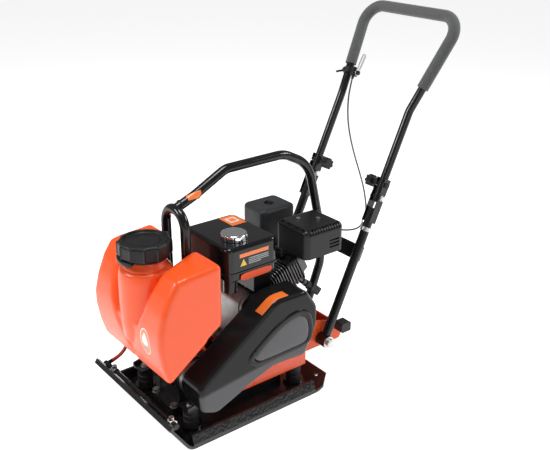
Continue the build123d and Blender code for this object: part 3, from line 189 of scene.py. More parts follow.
def hammered_enamel():
    """Thick gloss enamel on the sole plate, lumpy as sprayed over cast skin."""
    made = Finish("hammered_enamel", (0.011, 0.011, 0.012), 0.17).rounded(0.002)
    made.mottle(30, 0.35, (0.035, 0.034, 0.033))
    made.gloss(70, 0.07)
    made.bump(made.cells(120, "SMOOTH_F1"), 0.0011, 0.55)
    made.bump(made.noise(260, 3), 0.00022)
    return made.set(Coat_Weight=0.3, Coat_Roughness=0.06, Specular_IOR_Level=0.4).material


def tank_plastic():
    """Blow-moulded polyethylene, slightly translucent, with a satin skin."""
    made = Finish("tank_plastic", (0.90, 0.092, 0.010), 0.31)
    made.mottle(3, 0.10, (0.82, 0.072, 0.007))
    made.gloss(9, 0.02)
    made.bump(made.noise(700, 2), 0.000018)
    made.set(Subsurface_Weight=0.10, Subsurface_Scale=0.012, Coat_Weight=0.12, Coat_Roughness=0.25)
    made.shader.inputs["Subsurface Radius"].default_value = (1.0, 0.32, 0.12)
    return made.material


def closed_foam():
    """Closed-cell foam sleeve: dull, with a fine pitted skin."""
    made = Finish("closed_foam", (0.042, 0.043, 0.045), 0.82)
    made.mottle(120, 0.35, (0.085, 0.087, 0.09))
    made.gloss(300, 0.07)
    made.bump(made.cells(1500), 0.00025, 0.6)
    made.bump(made.noise(60, 3), 0.0004)
    return made.set(Sheen_Weight=0.25, Sheen_Roughness=0.6).material


def rubber(name, colour=(0.018, 0.018, 0.018), rough=0.62):
    made = Finish(name, colour, rough).rounded(0.0012)
    made.mottle(50, 0.4, (0.045, 0.044, 0.042))
    made.gloss(140, 0.08)
    made.bump(made.noise(500, 3, 0.6), 0.00008)
    return made.material


def printed(name, colour, rough=0.32):
    """Gloss vinyl label or its ink."""
    made = Finish(name, colour, rough)
    made.mottle(80, 0.08, tuple(c * 0.75 for c in colour))
    made.gloss(120, 0.04)
    return made.set(Coat_Weight=0.4, Coat_Roughness=0.1).material


enamel = powder_coat("black_enamel_paint", (0.007, 0.007, 0.008), 0.17)
deep_gloss = powder_coat("black_gloss_paint", (0.005, 0.005, 0.006), 0.10, 0.00001)
orange = powder_coat("orange_powder_coat", (0.79, 0.085, 0.012), 0.3)
cover_grey = powder_coat("satin_grey_paint", (0.075, 0.075, 0.08), 0.34, 0.00002, 0.0015)
satin = moulding("satin_black_paint", (0.009, 0.009, 0.010), 0.34, 0.00005, 900)
black_plastic = moulding("black_moulding", (0.008, 0.008, 0.009), 0.40)
grey_plastic = moulding("grey_moulding", (0.026, 0.027, 0.029), 0.44)
red_plastic = moulding("red_moulding", (0.55, 0.015, 0.012), 0.35)
zinc = plated("zinc_plate", (0.66, 0.66, 0.64), 0.3)
steel = plated("machined_steel", (0.42, 0.42, 0.43), 0.34, (1, 6, 6))
chrome = plated("chrome_plate", (0.80, 0.80, 0.81), 0.12)
brass = plated("turned_brass", (0.72, 0.52, 0.24), 0.3)
alloy = casting("cast_alloy_skin", (0.36, 0.36, 0.355), 0.40)
# Painted shade: near-black for the shaded, dark-reflecting wall of the belt cover's pocket.
groove_shade_black = moulding("groove_shade_black", (0.003, 0.003, 0.003), 0.2, 0.00001)
fin_alloy = casting("sooted_fin_alloy", (0.17, 0.17, 0.168), 0.42)
black_cast = casting("painted_casting", (0.016, 0.016, 0.017), 0.34, 0.0, 0.0002)
black_rubber = rubber("black_rubber")
plate_paint = hammered_enamel()
tank_orange = tank_plastic()
foam = closed_foam()
def painted_reflection_cover_finish():
    """The belt cover's paint: gloss black edge band, satin grey face, and a painted reflection: the outer
    face is black above a sloping line for the dark surroundings its domed upper part reflects.
    """
    made = Finish("belt_cover_reflection_and_paint", (0.010, 0.010, 0.011), 0.12).rounded(0.0015)
    _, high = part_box("belt_cover")
    offset = nodes["belt_cover"].matrix_world.translation
    # Painted reflection: the outer face turns black above this sloping line and stays grey below it.
    slope, reflection_line_height = 0.12, 0.171
    split = made.node("ShaderNodeSeparateXYZ")
    made.link(made.coords, split.inputs[0])
    line = made.node("ShaderNodeMath", operation="MULTIPLY_ADD")
    line.inputs[1].default_value = slope
    line.inputs[2].default_value = reflection_line_height + slope * offset.y - offset.z
    made.link(split.outputs[1], line.inputs[0])
    reflection_line_gap = made.node("ShaderNodeMath", operation="SUBTRACT")
    made.link(line.outputs[0], reflection_line_gap.inputs[0])
    made.link(split.outputs[2], reflection_line_gap.inputs[1])
    below = made.ranged(reflection_line_gap.outputs[0], 0, 1, 0, 0.012)
    front = made.ranged(split.outputs[0], 0, 1, high[0] - offset.x - 0.012, high[0] - offset.x - 0.007)
    both = made.node("ShaderNodeMath", operation="MULTIPLY")
    made.link(below, both.inputs[0])
    made.link(front, both.inputs[1])
    mix = made.node("ShaderNodeMix", data_type="RGBA")
    mix.inputs["A"].default_value = (0.010, 0.010, 0.011, 1)
    mix.inputs["B"].default_value = (0.095, 0.095, 0.10, 1)
    made.link(both.outputs[0], mix.inputs["Factor"])
    made.link(mix.outputs["Result"], made.shader.inputs["Base Color"])
    made.link(made.ranged(both.outputs[0], 0.13, 0.34, 0, 1), made.shader.inputs["Roughness"])
    made.bump(made.noise(420, 2), 0.00002)
    return made.set(Specular_IOR_Level=0.2).material


cover_finish_with_reflection = painted_reflection_cover_finish()
def deck_paint():
    """Orange powder coat, with the two front feet in black."""
    made = Finish("deck_paint", (0.79, 0.075, 0.010), 0.3).rounded(0.0012)
    offset = nodes["engine_deck"].matrix_world.translation
    split = made.node("ShaderNodeSeparateXYZ")
    made.link(made.coords, split.inputs[0])
    front = made.ranged(split.outputs[1], 1, 0, -0.150 - offset.y, -0.146 - offset.y)
    mix = made.node("ShaderNodeMix", data_type="RGBA")
    mix.inputs["A"].default_value = (0.79, 0.075, 0.010, 1)
    mix.inputs["B"].default_value = (0.012, 0.012, 0.013, 1)
    made.link(front, mix.inputs["Factor"])
    made.link(mix.outputs["Result"], made.shader.inputs["Base Color"])
    made.gloss(35, 0.05)
    made.bump(made.noise(420, 2), 0.00003)
    return made.set(Coat_Weight=0.35, Coat_Roughness=0.12).material


deck_coat = deck_paint()
label_orange = printed("label_orange", (0.90, 0.20, 0.03))
label_white = printed("label_white", (0.82, 0.82, 0.80))
label_yellow = printed("label_yellow", (0.85, 0.55, 0.03))
label_grey = printed("label_grey", (0.30, 0.31, 0.32))

FINISHES = {
    plate_paint: ("base_plate",),
    black_cast: ("exciter_housing",),
    enamel: (
        "sprinkler_bar", "tank_bracket", "blower_cowl", "belt_cover_back", "lift_frame",
        "handle_lower", "handle_upper",
    ),
    deep_gloss: ("fuel_tank",),
    cover_finish_with_reflection: ("belt_cover",),
    deck_coat: ("engine_deck",),
    orange: ("handle_bracket",),
    satin: ("muffler_shield", "muffler"),
    black_plastic: (
        "recoil_cover", "starter_grip", "air_filter_base", "wing_nut", "choke_lever", "fuel_valve_lever",
        "water_cap", "cap_tether", "knob_left", "knob_right", "throttle_body",
    ),
    grey_plastic: ("air_filter_cover",),
    red_plastic: ("switch_knob", "valve_lever"),
    zinc: (
        "exciter_bolts", "sprinkler_clamps", "deck_bolts", "speed_lever", "fold_bolts", "throttle_lever",
        "cable_clip",
    ),
    steel: ("exciter_bearings", "exciter_shaft", "exciter_pulley", "crankshaft", "clutch_pulley"),
    chrome: ("fuel_cap",),
    brass: ("water_valve",),
    alloy: (
        "exciter_caps", "crankcase", "crankcase_cover", "flywheel", "piston", "carburettor",
    ),
    fin_alloy: ("cylinder_barrel", "cylinder_head"),
    black_rubber: (
        "drive_belt", "rubber_mounts", "handle_stops", "plug_boot", "throttle_cable_upper",
        "throttle_cable_lower", "water_hose",
    ),
    foam: ("foam_grip",),
    tank_orange: ("water_tank",),
}


def dress_cad_nodes():
    """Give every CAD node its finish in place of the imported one."""
    for finish, names in FINISHES.items():
        for name in names:
            slots = nodes[name].data.materials
            slots.clear()
            slots.append(finish)


dress_cad_nodes()


# ---- mesh helpers -------------------------------------------------------------------
def add_object(name, data, body, finish):
    """Put new data in the scene on a body, with one material."""
    made = bpy.data.objects.new(name, data)
    bpy.context.scene.collection.objects.link(made)
    made.data.materials.append(finish)
    if body:
        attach(made, body)
    return made


def from_bmesh(name, bm, body, finish, smooth=True):
    mesh = bpy.data.meshes.new(name)
    bmesh.ops.recalc_face_normals(bm, faces=bm.faces)
    bm.to_mesh(mesh)
    bm.free()
    for face in mesh.polygons:
        face.use_smooth = smooth
    return add_object(name, mesh, body, finish)


def bridge(bm, rings):
    """Join each closed ring of vertices to the next with quads."""
    count = len(rings[0])
    for low, high in zip(rings, rings[1:]):
        for a in range(count):
            b = (a + 1) % count
            bm.faces.new((low[a], low[b], high[b], high[a]))


def surface_tree(node):
    """Search tree of a node's surface in the frame."""
    mesh = node.data
    return BVHTree.FromPolygons(
        [node.matrix_world @ v.co for v in mesh.vertices], [tuple(p.vertices) for p in mesh.polygons],
    )


def lathe(profile, turns, axis_at, axis=Vector((0, 0, 1)), ripple=None):
    """Revolve (radius, height) points; ripple(angle, index) may scale the radius."""
    bm = bmesh.new()
    turn_to = axis.to_track_quat("Z", "Y").to_matrix()
    rings = []
    for index, (radius, height) in enumerate(profile):
        ring = []
        for step in range(turns):
            angle = 2 * math.pi * step / turns
            r = radius * (ripple(angle, index) if ripple else 1)
            local = Vector((r * math.cos(angle), r * math.sin(angle), height))
            ring.append(bm.verts.new(Vector(axis_at) + turn_to @ local))
        rings.append(ring)
    bridge(bm, rings)
    bm.faces.new(reversed(rings[0]))
    bm.faces.new(rings[-1])
    return bm


def nurbs_line(name, points):
    """Smooth open curve with the route's points as its control points."""
    curve = bpy.data.curves.new(name, "CURVE")
    curve.dimensions = "3D"
    spline = curve.splines.new("NURBS")
    spline.points.add(len(points) - 1)
    for target, point in zip(spline.points, points):
        target.co = (*point, 1)
    spline.order_u = 3
    spline.use_endpoint_u = True
    spline.resolution_u = 12
    return curve


def curve_points(curve):
    """Points along a curve with no bevel, in order."""
    holder = bpy.data.objects.new("route_reader", curve)
    bpy.context.scene.collection.objects.link(holder)
    bpy.context.view_layer.update()
    mesh = bpy.data.meshes.new_from_object(holder)
    points = [v.co.copy() for v in mesh.vertices]
    bpy.data.objects.remove(holder)
    bpy.data.meshes.remove(mesh)
    return points


def tube_mesh(points, radius, sides=16, taper=None):
    """Tube round a line of points, closed at both ends; taper(share) scales the radius."""
    bm = bmesh.new()
    rings = []
    side = None
    last = len(points) - 1
    for index, point in enumerate(points):
        ahead = (points[min(index + 1, last)] - points[max(index - 1, 0)]).normalized()
        if side is None:
            side = ahead.orthogonal().normalized()
        side = (side - ahead * side.dot(ahead)).normalized()
        up = ahead.cross(side)
        r = radius * (taper(index / last) if taper else 1)
        ring = []
        for step in range(sides):
            angle = 2 * math.pi * step / sides
            ring.append(bm.verts.new(point + (side * math.cos(angle) + up * math.sin(angle)) * r))
        rings.append(ring)
    bridge(bm, rings)
    bm.faces.new(reversed(rings[0]))
    bm.faces.new(rings[-1])
    return bm


def in_metres(points):
    return [Vector(p) * MM for p in points]


# ---- cables and hose ----------------------------------------------------------------
CABLE_TOP = (-126.8, 622.0, 818.8)
CLIP_ENTRY = (119.4, 461.1, 457)
CLIP_POINT = (120, 460, 456)
CABLE_STOP = (5, 267.8, 402)
UPPER_CABLE = [
    CABLE_TOP, (-122.5, 607, 780), (-114, 596, 738), (-97, 583, 695), (-70, 570, 652),
    (-35, 556, 609), (5, 541, 570), (45, 524, 533), (78, 504, 501), (101, 486, 477),
    (114, 470.5, 464.5), CLIP_ENTRY,
]
LOWER_CABLE = [
    CLIP_POINT, (122, 446, 445), (118, 424, 438), (104, 392, 439), (80, 364, 446), (50, 346, 452),
    (22, 328, 449), (9, 301, 436), CABLE_STOP,
]
HOSE = [(-144, -218, 151.7), (-150.08, -227.82, 123.92), (-174.27, -248.53, 99.73)]


def cord_piece(name, route, diameter, finish, node):
    """A cable or hose: a tube along a smooth route between its two ends, in place of its CAD node."""
    line = curve_points(nurbs_line(name + "_route", in_metres(route)))
    piece = from_bmesh(name, tube_mesh(line, diameter / 2), None, finish)
    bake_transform(piece)
    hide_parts(node)
    return piece


cable_sheath = rubber("cable_sheath", (0.03, 0.03, 0.032), 0.35)
red_tube = rubber("red_hose_skin", (0.58, 0.018, 0.012), 0.3)
cord_piece(
    "throttle_cable_above", UPPER_CABLE, 0.005, cable_sheath,
    "throttle_cable_upper",
)
cord_piece(
    "throttle_cable_below", LOWER_CABLE, 0.005, cable_sheath,
    "throttle_cable_lower",
)
cord_piece(
    "water_feed_hose", HOSE, 0.011, red_tube, "water_hose",
)


# ---- water tank ---------------------------------------------------------------------
CAP_AT = Vector((0, -0.216, 0))


def prism(outline, x_low, x_high):
    """Solid of a (y, z) outline between two x planes, in millimetres."""
    bm = bmesh.new()
    low = [bm.verts.new(Vector((x_low, y, z)) * MM) for y, z in outline]
    high = [bm.verts.new(Vector((x_high, y, z)) * MM) for y, z in outline]
    bm.faces.new(low)
    bm.faces.new(reversed(high))
    for i in range(len(outline)):
        j = (i + 1) % len(outline)
        bm.faces.new((low[i], high[i], high[j], low[j]))
    bmesh.ops.recalc_face_normals(bm, faces=bm.faces)
    return bm


def cut(bm, point, normal):
    """Keep what lies behind a plane and close the cut."""
    found = bmesh.ops.bisect_plane(
        bm, geom=bm.verts[:] + bm.edges[:] + bm.faces[:], plane_co=point, plane_no=normal, clear_outer=True,
    )
    rim = [e for e in found["geom_cut"] if isinstance(e, bmesh.types.BMEdge)]
    bmesh.ops.holes_fill(bm, edges=rim)


def soften(bm, width, segments=3):
    bmesh.ops.bevel(
        bm, geom=bm.edges[:], offset=width, segments=segments, profile=0.5, affect="EDGES",
        clamp_overlap=True,
    )


def merged(parts):
    """One bmesh of several."""
    whole = bmesh.new()
    for part in parts:
        mesh = bpy.data.meshes.new("part")
        part.to_mesh(mesh)
        part.free()
        whole.from_mesh(mesh)
        bpy.data.meshes.remove(mesh)
    return whole


def blown_skin(bm, voxel, passes):
    """Fuse overlapping solids into one skin and round it, as blow moulding does."""
    mesh = bpy.data.meshes.new("blank")
    bm.to_mesh(mesh)
    bm.free()
    blank = bpy.data.objects.new("blank", mesh)
    bpy.context.scene.collection.objects.link(blank)
    remesh = blank.modifiers.new("fuse", "REMESH")
    remesh.mode = "VOXEL"
    remesh.voxel_size = voxel
    smooth = blank.modifiers.new("round", "SMOOTH")
    smooth.factor = 0.5
    smooth.iterations = passes
    bpy.context.view_layer.update()
    shaped = bpy.data.meshes.new_from_object(blank.evaluated_get(bpy.context.evaluated_depsgraph_get()))
    bpy.data.objects.remove(blank)
    bpy.data.meshes.remove(mesh)
    out = bmesh.new()
    out.from_mesh(shaped)
    bpy.data.meshes.remove(shaped)
    return out


def water_tank():
    """Two square-shouldered lobes, with the cap's boss standing in the trough between."""
    solids = []
    nose = ((-226, 485), (-252, 446), (-274, 396), (-287, 346), (-287, 306), (-278, 250), (-262, 195))
    for side in (-1, 1):
        main = prism(((-137, 487), *nose, (-137, 286)), 0, side * 178)
        lobe = prism(((-94, 496), (-215, 486), (-215, 243), (-94, 320)), side * 56, side * 178)
        rim = Vector((side * 0.102, -0.225, 0.484))
        back = Vector((side * 0.050, -0.094, 0.498))
        low = Vector((side * 0.046, -0.278, 0.320))
        slope = (back - rim).cross(low - rim).normalized()
        if slope.z < 0:
            slope.negate()
        for solid in (main, lobe):
            cut(solid, rim, slope)
        soften(main, 0.013)
        soften(lobe, 0.013)
        solids += [main, lobe]
    middle = prism(((-137, 340), (-250, 350), (-284, 330), (-262, 196), (-137, 286)), -110, 110)
    soften(middle, 0.012)
    boss = lathe(
        (
            (0.050, 0.25), (0.068, 0.262), (0.074, 0.31), (0.0755, 0.38), (0.074, 0.44), (0.070, 0.461),
            (0.058, 0.469),
        ),
        48, CAP_AT,
    )
    skin = blown_skin(merged(solids + [middle, boss]), 0.0032, 9)
    for vertex in skin.verts:
        wave = noise.noise(vertex.co * 9) * 0.0009
        vertex.co += vertex.normal * wave
    piece = from_bmesh("water_tank_skin", skin, "deck", tank_orange)
    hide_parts("water_tank")
    neck = lathe(
        (
            (0.060, 0.462), (0.060, 0.472), (0.0535, 0.476), (0.0535, 0.506), (0.052, 0.508), (0.048, 0.508),
            (0.047, 0.506), (0.047, 0.4705), (0.044, 0.4695), (0.010, 0.4693),
        ), 64, CAP_AT,
    )
    ring = from_bmesh("water_tank_neck", neck, "deck", tank_orange)
    return piece


def surface_patch(name, target, outline, lift, toward, finish, body, grid=14):
    """A thin label laid on a surface: a filled outline dropped along a direction on to the target."""
    thickness = 0.0002
    tree = surface_tree(target)
    bm = bmesh.new()
    centre = sum(outline, Vector()) / len(outline)
    rings = [
        [bm.verts.new(centre + (p - centre) * (step / grid)) for p in outline]
        for step in range(1, grid + 1)
    ]
    hub = bm.verts.new(centre)
    count = len(outline)
    for i in range(count):
        bm.faces.new((hub, rings[0][i], rings[0][(i + 1) % count]))
    for low, high in zip(rings, rings[1:]):
        for i in range(count):
            j = (i + 1) % count
            bm.faces.new((low[i], high[i], high[j], low[j]))
    for vertex in bm.verts:
        hit, _, _, _ = tree.ray_cast(vertex.co - toward * 0.1, toward)
        if hit:
            vertex.co = hit - toward * lift
    bmesh.ops.recalc_face_normals(bm, faces=bm.faces)
    thick = bmesh.ops.extrude_face_region(bm, geom=bm.faces[:])
    for item in thick["geom"]:
        if isinstance(item, bmesh.types.BMVert):
            item.co -= toward * thickness
    patch = from_bmesh(name, bm, body, finish)
    return patch


def oval(centre, across, up, wide, tall, turns=40, squareness=2.0):
    """Points round a superellipse."""
    points = []
    for step in range(turns):
        angle = 2 * math.pi * step / turns
        c, v = math.cos(angle), math.sin(angle)
        a = math.copysign(abs(c) ** (2 / squareness), c) * wide / 2
        b = math.copysign(abs(v) ** (2 / squareness), v) * tall / 2
        points.append(centre + across * a + up * b)
    return points


def drop_outline(centre, across, up, size):
    """A water drop: round below, pointed above."""
    points = []
    for step in range(28):
        angle = 2 * math.pi * step / 28
        x = math.sin(angle) * math.sin(angle / 2) ** 1.3
        points.append(centre + across * x * size * 0.5 + up * math.cos(angle) * size * 0.5)
    return points


def tank_sticker(tank):
    """A plain oval sticker with a water drop and a level bar."""
    inwards = Vector((0, 1, 0))
    across, up = Vector((1, 0, 0)), Vector((0, 0, 1))
    centre = Vector((0.101, -0.30, 0.305))
    surface_patch(
        "tank_sticker_rim", tank, oval(centre, across, up, 0.050, 0.078),
        0.0003, inwards, label_white, "deck",
    )
    surface_patch(
        "tank_sticker_field", tank, oval(centre, across, up, 0.044, 0.071),
        0.0006, inwards, label_orange, "deck",
    )
    surface_patch(
        "tank_sticker_drop", tank, drop_outline(centre + up * 0.008, across, up, 0.040),
        0.0009, inwards, label_white, "deck",
    )
    surface_patch(
        "tank_sticker_bar", tank, oval(centre - up * 0.022, across, up, 0.028, 0.006, 24, 5),
        0.0009, inwards, label_grey, "deck", 3,
    )


def water_cap():
    """Wide screw lid: twelve flats with ribs between, a raised ring and a slight dome."""
    flats = 12

    def skirt(angle, index):
        if not 1 <= index <= 5:
            return 1
        share = (angle * flats / (2 * math.pi)) % 1
        flat = math.cos(math.pi / flats) / math.cos((share - 0.5) * 2 * math.pi / flats)
        rib = max(0.0, 1 - min(share, 1 - share) / 0.07)
        return flat + 0.022 * min(1, rib) - (0.012 if 0.12 < share < 0.88 else 0)

    profile = (
        (0.060, 0.4995), (0.0705, 0.500), (0.0715, 0.503), (0.0715, 0.528), (0.0712, 0.533), (0.0690, 0.537),
        (0.0640, 0.5395), (0.0590, 0.5405), (0.0560, 0.5398), (0.0545, 0.5362), (0.0520, 0.5340),
        (0.0400, 0.5346), (0.0360, 0.5364), (0.0330, 0.5350), (0.0200, 0.5368), (0.0020, 0.5376),
    )
    top = lathe(profile, 288, CAP_AT, ripple=skirt)
    cap = from_bmesh("water_cap_moulding", top, "tank_lid", black_plastic)
    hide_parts("water_cap")
    for face in cap.data.polygons:
        face.use_smooth = abs(face.normal.z) > 0.5


def tether():
    """Strap of the lid: a ring under it, a broad tab in front and a loop behind."""
    outline = []
    for step in range(97):
        angle = 2 * math.pi * step / 96
        outline.append(Vector((0.0595 * math.cos(angle), 0.0595 * math.sin(angle), 0.4945)) + CAP_AT)
    ring = tube_mesh(outline, 0.0032, 10)
    tab = bmesh.new()
    section = (
        (0.058, 0.4975), (0.073, 0.4965), (0.0745, 0.4935), (0.0735, 0.4865), (0.0705, 0.486),
        (0.0695, 0.4925), (0.058, 0.4935),
    )
    ribs = []
    for step in range(25):
        angle = math.radians(-124 + 68 * step / 24)
        flare = min(1.0, min(step, 24 - step) / 2.5)
        ribs.append([
            tab.verts.new(CAP_AT + Vector((
                r * math.cos(angle), r * math.sin(angle), 0.4955 + (z - 0.4955) * (0.4 + 0.6 * flare),
            )))
            for r, z in section
        ])
    bridge(tab, ribs)
    tab.faces.new(ribs[0])
    tab.faces.new(reversed(ribs[-1]))
    loop = []
    for step in range(25):
        angle = math.pi * step / 24
        loop.append(Vector((-0.004 + 0.017 * math.cos(angle), -0.146, 0.4945 + 0.044 * math.sin(angle))))
    strap = from_bmesh("cap_strap", merged([ring, tab, tube_mesh(loop, 0.0028, 10)]), "deck", black_plastic)
    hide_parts("cap_tether")


tank_piece = water_tank()
tank_sticker(tank_piece)
water_cap()
tether()


# ---- labels -------------------------------------------------------------------------
def flat_label(name, corners, normal, finish, body, lift=0.0004):
    """Thin plate through corner points, raised off its surface."""
    bm = bmesh.new()
    face = bm.faces.new([bm.verts.new(c + normal * lift) for c in corners])
    thick = bmesh.ops.extrude_face_region(bm, geom=[face])
    for item in thick["geom"]:
        if isinstance(item, bmesh.types.BMVert):
            item.co += normal * 0.0003
    plate = from_bmesh(name, bm, body, finish, smooth=False)


def slab(corner_a, corner_b, place):
    """Rectangle corners in a plane: place(u, v) maps them to the frame."""
    (u0, v0), (u1, v1) = corner_a, corner_b
    return [place(u0, v0), place(u1, v0), place(u1, v1), place(u0, v1)]


def engine_labels():
    """Generic stickers of the fuel tank, without any words."""
    def on_top(u, v):
        return Vector((u, v, 492)) * MM

    def on_side(u, v):
        return Vector((113, u, v)) * MM

    up, right = Vector((0, 0, 1)), Vector((1, 0, 0))
    flat_label("tank_top_label", slab((-88, 78), (-20, 128), on_top), up, label_orange, "deck")
    flat_label(
        "tank_top_mark", slab((-74, 88), (-40, 118), on_top), up, label_white, "deck", 0.0008,
    )
    flat_label(
        "tank_top_core", slab((-68, 93), (-46, 113), on_top), up, label_orange, "deck", 0.0012,
    )
    strip = oval(Vector((0.1135, 0.062, 0.402)), Vector((0, 1, 0)), up, 0.106, 0.022, 48, 4)
    flat_label("tank_orange_strip", strip, right, orange, "deck", 0.0)
    flat_label(
        "tank_side_bar", [on_side(6, 461), on_side(104, 461), on_side(104, 472), on_side(6, 472)], right,
        label_orange, "deck",
    )
    flat_label(
        "tank_side_sign", [on_side(8, 436), on_side(30, 436), on_side(19, 456)], right, label_yellow, "deck",
    )
    for row in range(4):
        z = 453.5 - 5.2 * row
        end = 104 if row < 3 else 78
        flat_label(
            f"tank_side_line_{row}", slab((36, z - 1.5), (end, z + 1.5), on_side), right, label_grey, "deck",
        )


def cover_panel():
    """Grey panel of the belt cover's pocket with its glossy black groove."""
    face = 0.196
    corners = (
        (-29, 202), (-12, 181), (8, 179), (90, 180), (170, 182), (184, 194), (190, 228), (179, 266),
        (164, 281), (145, 290), (110, 286), (67, 269), (18, 236),
    )
    outline = [Vector((face, y * MM, z * MM)) for y, z in corners]
    round_line = []
    count = len(outline)
    for i in range(count):
        a, b, c = outline[i - 1], outline[i], outline[(i + 1) % count]
        for step in range(6):
            t = step / 6
            start, end = (a + b) / 2, (b + c) / 2
            round_line.append(start * (1 - t) ** 2 + b * 2 * t * (1 - t) + end * t * t)
    # The half-sunk tube gives the groove its shape; its near-black finish is painted shade for the pocket's
    # shaded wall.
    groove = tube_mesh(round_line + [round_line[0], round_line[1]], 0.0095, 14)
    for vertex in groove.verts:
        vertex.co.x = COVER_FACE + (vertex.co.x - face) * 0.42
    rim = from_bmesh("belt_cover_groove", groove, "deck", groove_shade_black)
    centre = sum(round_line, Vector()) / len(round_line)
    bm = bmesh.new()
    rings = []
    for inset, rise in ((0.10, 0.0), (0.13, 0.0034), (0.2, 0.0042), (0.5, 0.0046), (0.8, 0.0048)):
        ring = []
        for point in round_line:
            at = point + (centre - point) * inset
            at.x = COVER_FACE + rise
            ring.append(bm.verts.new(at))
        rings.append(ring)
    bridge(bm, rings)
    bm.faces.new(rings[-1])
    plate = from_bmesh("belt_cover_panel", bm, "deck", cover_grey)


COVER_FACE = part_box("belt_cover")[1][0]
cover_panel()


def edge_label(name, node, start, end, width, finish, direction):
    """A strip label dropped on to a part between two points."""
    along = (end - start).normalized()
    across = direction.cross(along).normalized()
    middle = (start + end) / 2
    half = (end - start).length / 2
    outline = []
    steps = 14
    for k in range(4 * steps):
        run, share = divmod(k, steps)
        t = 2 * share / steps - 1
        a, b = ((t, -1), (1, t), (-t, 1), (-1, -t))[run]
        outline.append(middle + along * half * a + across * width / 2 * b)
    return surface_patch(name, node, outline, 0.0004, direction, finish, "deck", 10)


def outer_labels():
    """Orange strips on the belt cover's upper edge and on the lifting bar."""
    down = Vector((0, 0, -1))
    edge_label(
        "cover_edge_label", nodes["belt_cover"], Vector((0.178, 0.02, 0.36)), Vector((0.178, 0.112, 0.36)),
        0.030, label_orange, down,
    )
    edge_label(
        "lift_bar_label", nodes["lift_frame"], Vector((0.004, -0.085, 0.62)), Vector((0.004, -0.045, 0.62)),
        0.016, label_orange, Vector((-0.7, 0, -0.7)).normalized(),
    )


outer_labels()
engine_labels()


def painted_slot_shadows():
    """Thin near-black matte patches over the two front top edges of the muffler guard: painted shadow where
    the guard's slots show dark.
    """
    low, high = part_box("muffler_shield")
    target = nodes["muffler_shield"]
    # Painted shadow: a near-black matte finish for the slots' dark openings.
    slot_shadow_paint = Finish("slot_shadow", (0.0015, 0.0015, 0.0015), 0.9)
    slot_shadow_paint.mottle(200, 0.3, (0.004, 0.004, 0.004))
    slot_shadow_paint.set(Specular_IOR_Level=0.05)
    right_edge = Vector((high[0] - 0.004, 0, high[2] - 0.004))
    front_edge = Vector((0, low[1] + 0.006, high[2] - 0.006))
    rows = (
        (
            "right", right_edge, Vector((-1, 0, -1)).normalized(), Vector((-1, 0, 1)).normalized(),
            Vector((0, 1, 0)), low[1], high[1],
        ),
        (
            "front", front_edge, Vector((0, 1, -1)).normalized(), Vector((0, 1, 1)).normalized(),
            Vector((1, 0, 0)), low[0], high[0],
        ),
    )
    for label, edge, inwards, up, along, start, end in rows:
        count = 12
        for step in range(count):
            place = start + 0.018 + (end - start - 0.036) * step / (count - 1)
            centre = edge + along * place
            outline = oval(centre, along, up, 0.0034, 0.019, 16, 4)
            surface_patch(
                f"guard_slot_shadow_{label}_{step}", target, outline, 0.0002, inwards, slot_shadow_paint.material, "deck",
                4,
            )


painted_slot_shadows()


def weld_beads():
    """Weld beads where the lifting bar meets its front hoop."""
    _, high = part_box("lift_frame")
    tree = surface_tree(nodes["lift_frame"])
    top = tree.ray_cast(Vector((0, -0.118, high[2] + 0.1)), Vector((0, 0, -1)))[0]
    if top is None:
        return
    ring = []
    for step in range(33):
        angle = 2 * math.pi * step / 32
        wobble = 1 + 0.05 * math.sin(angle * 11)
        reach = 0.0135 * wobble
        probe = Vector((
            reach * math.cos(angle), top.y + 0.013, top.z - 0.008 + reach * math.sin(angle),
        ))
        near, _, _, _ = tree.find_nearest(probe)
        ring.append(near if near is not None else probe)
    bead = from_bmesh("lift_bar_weld", tube_mesh(ring, 0.0022, 8), "deck", enamel)


weld_beads()


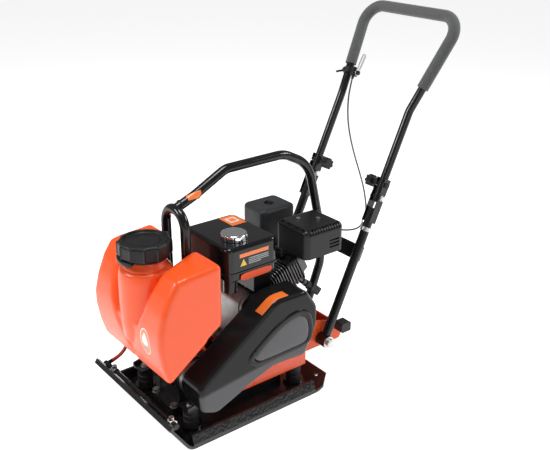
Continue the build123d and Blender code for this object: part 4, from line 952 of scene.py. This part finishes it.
# ---- camera, light and floor --------------------------------------------------------
def add_camera():
    """The catalogue view: from the front right, a little above the tank."""
    azimuth, elevation, roll = math.radians(51.79), math.radians(22.87), math.radians(0.22)
    camera_data = bpy.data.cameras.new("camera")
    camera_data.lens = 54.0
    camera_data.sensor_width = 36.0
    camera = bpy.data.objects.new("camera", camera_data)
    bpy.context.scene.collection.objects.link(camera)
    back = Vector((
        math.sin(azimuth) * math.cos(elevation),
        -math.cos(azimuth) * math.cos(elevation),
        math.sin(elevation),
    ))
    right = Vector((math.cos(azimuth), math.sin(azimuth), 0))
    up = back.cross(right)
    turned = Matrix((right, up, back)).transposed() @ Matrix.Rotation(roll, 3, "Z")
    camera.matrix_world = Matrix.Translation((1.7458, -1.1587, 1.4039)) @ turned.to_4x4()
    bpy.context.scene.camera = camera


def add_area_light(name, place, target, size, power, colour=(1, 1, 1)):
    light = bpy.data.lights.new(name, "AREA")
    light.shape = "RECTANGLE"
    light.size, light.size_y = size
    light.energy = power
    light.color = colour
    holder = bpy.data.objects.new(name, light)
    bpy.context.scene.collection.objects.link(holder)
    holder.location = place
    aim = Vector(target) - Vector(place)
    holder.rotation_euler = aim.to_track_quat("-Z", "Y").to_euler()


def add_floor():
    bm = bmesh.new()
    bmesh.ops.create_grid(bm, x_segments=1, y_segments=1, size=40)
    made = Finish("studio_floor", (0.92, 0.92, 0.92), 0.8)
    made.mottle(3, 0.03, (0.86, 0.86, 0.86))
    made.shader.inputs["Emission Color"].default_value = (1, 1, 1, 1)
    made.shader.inputs["Emission Strength"].default_value = 0.68
    floor = from_bmesh("studio_floor", bm, None, made.material)
    floor.location.z = -0.0006


def add_world():
    world = bpy.data.worlds.new("studio")
    world.use_nodes = True
    background = world.node_tree.nodes["Background"]
    background.inputs["Color"].default_value = (1, 1, 1, 1)
    background.inputs["Strength"].default_value = 0.24
    bpy.context.scene.world = world
    bpy.context.scene.view_settings.view_transform = "Standard"
    bpy.context.scene.view_settings.look = "None"


add_camera()
add_world()
add_floor()
add_area_light("key", (-1.2, -2.6, 2.6), (0, 0, 0.35), (1.4, 0.9), 58)
add_area_light("side", (3.0, -0.4, 1.3), (0, 0, 0.3), (1.0, 1.2), 7)
add_area_light("rim", (1.2, 2.6, 2.2), (0, 0.1, 0.4), (1.4, 0.8), 40)
add_area_light("top", (0.1, -0.1, 3.0), (0, 0, 0.3), (1.0, 1.0), 40)
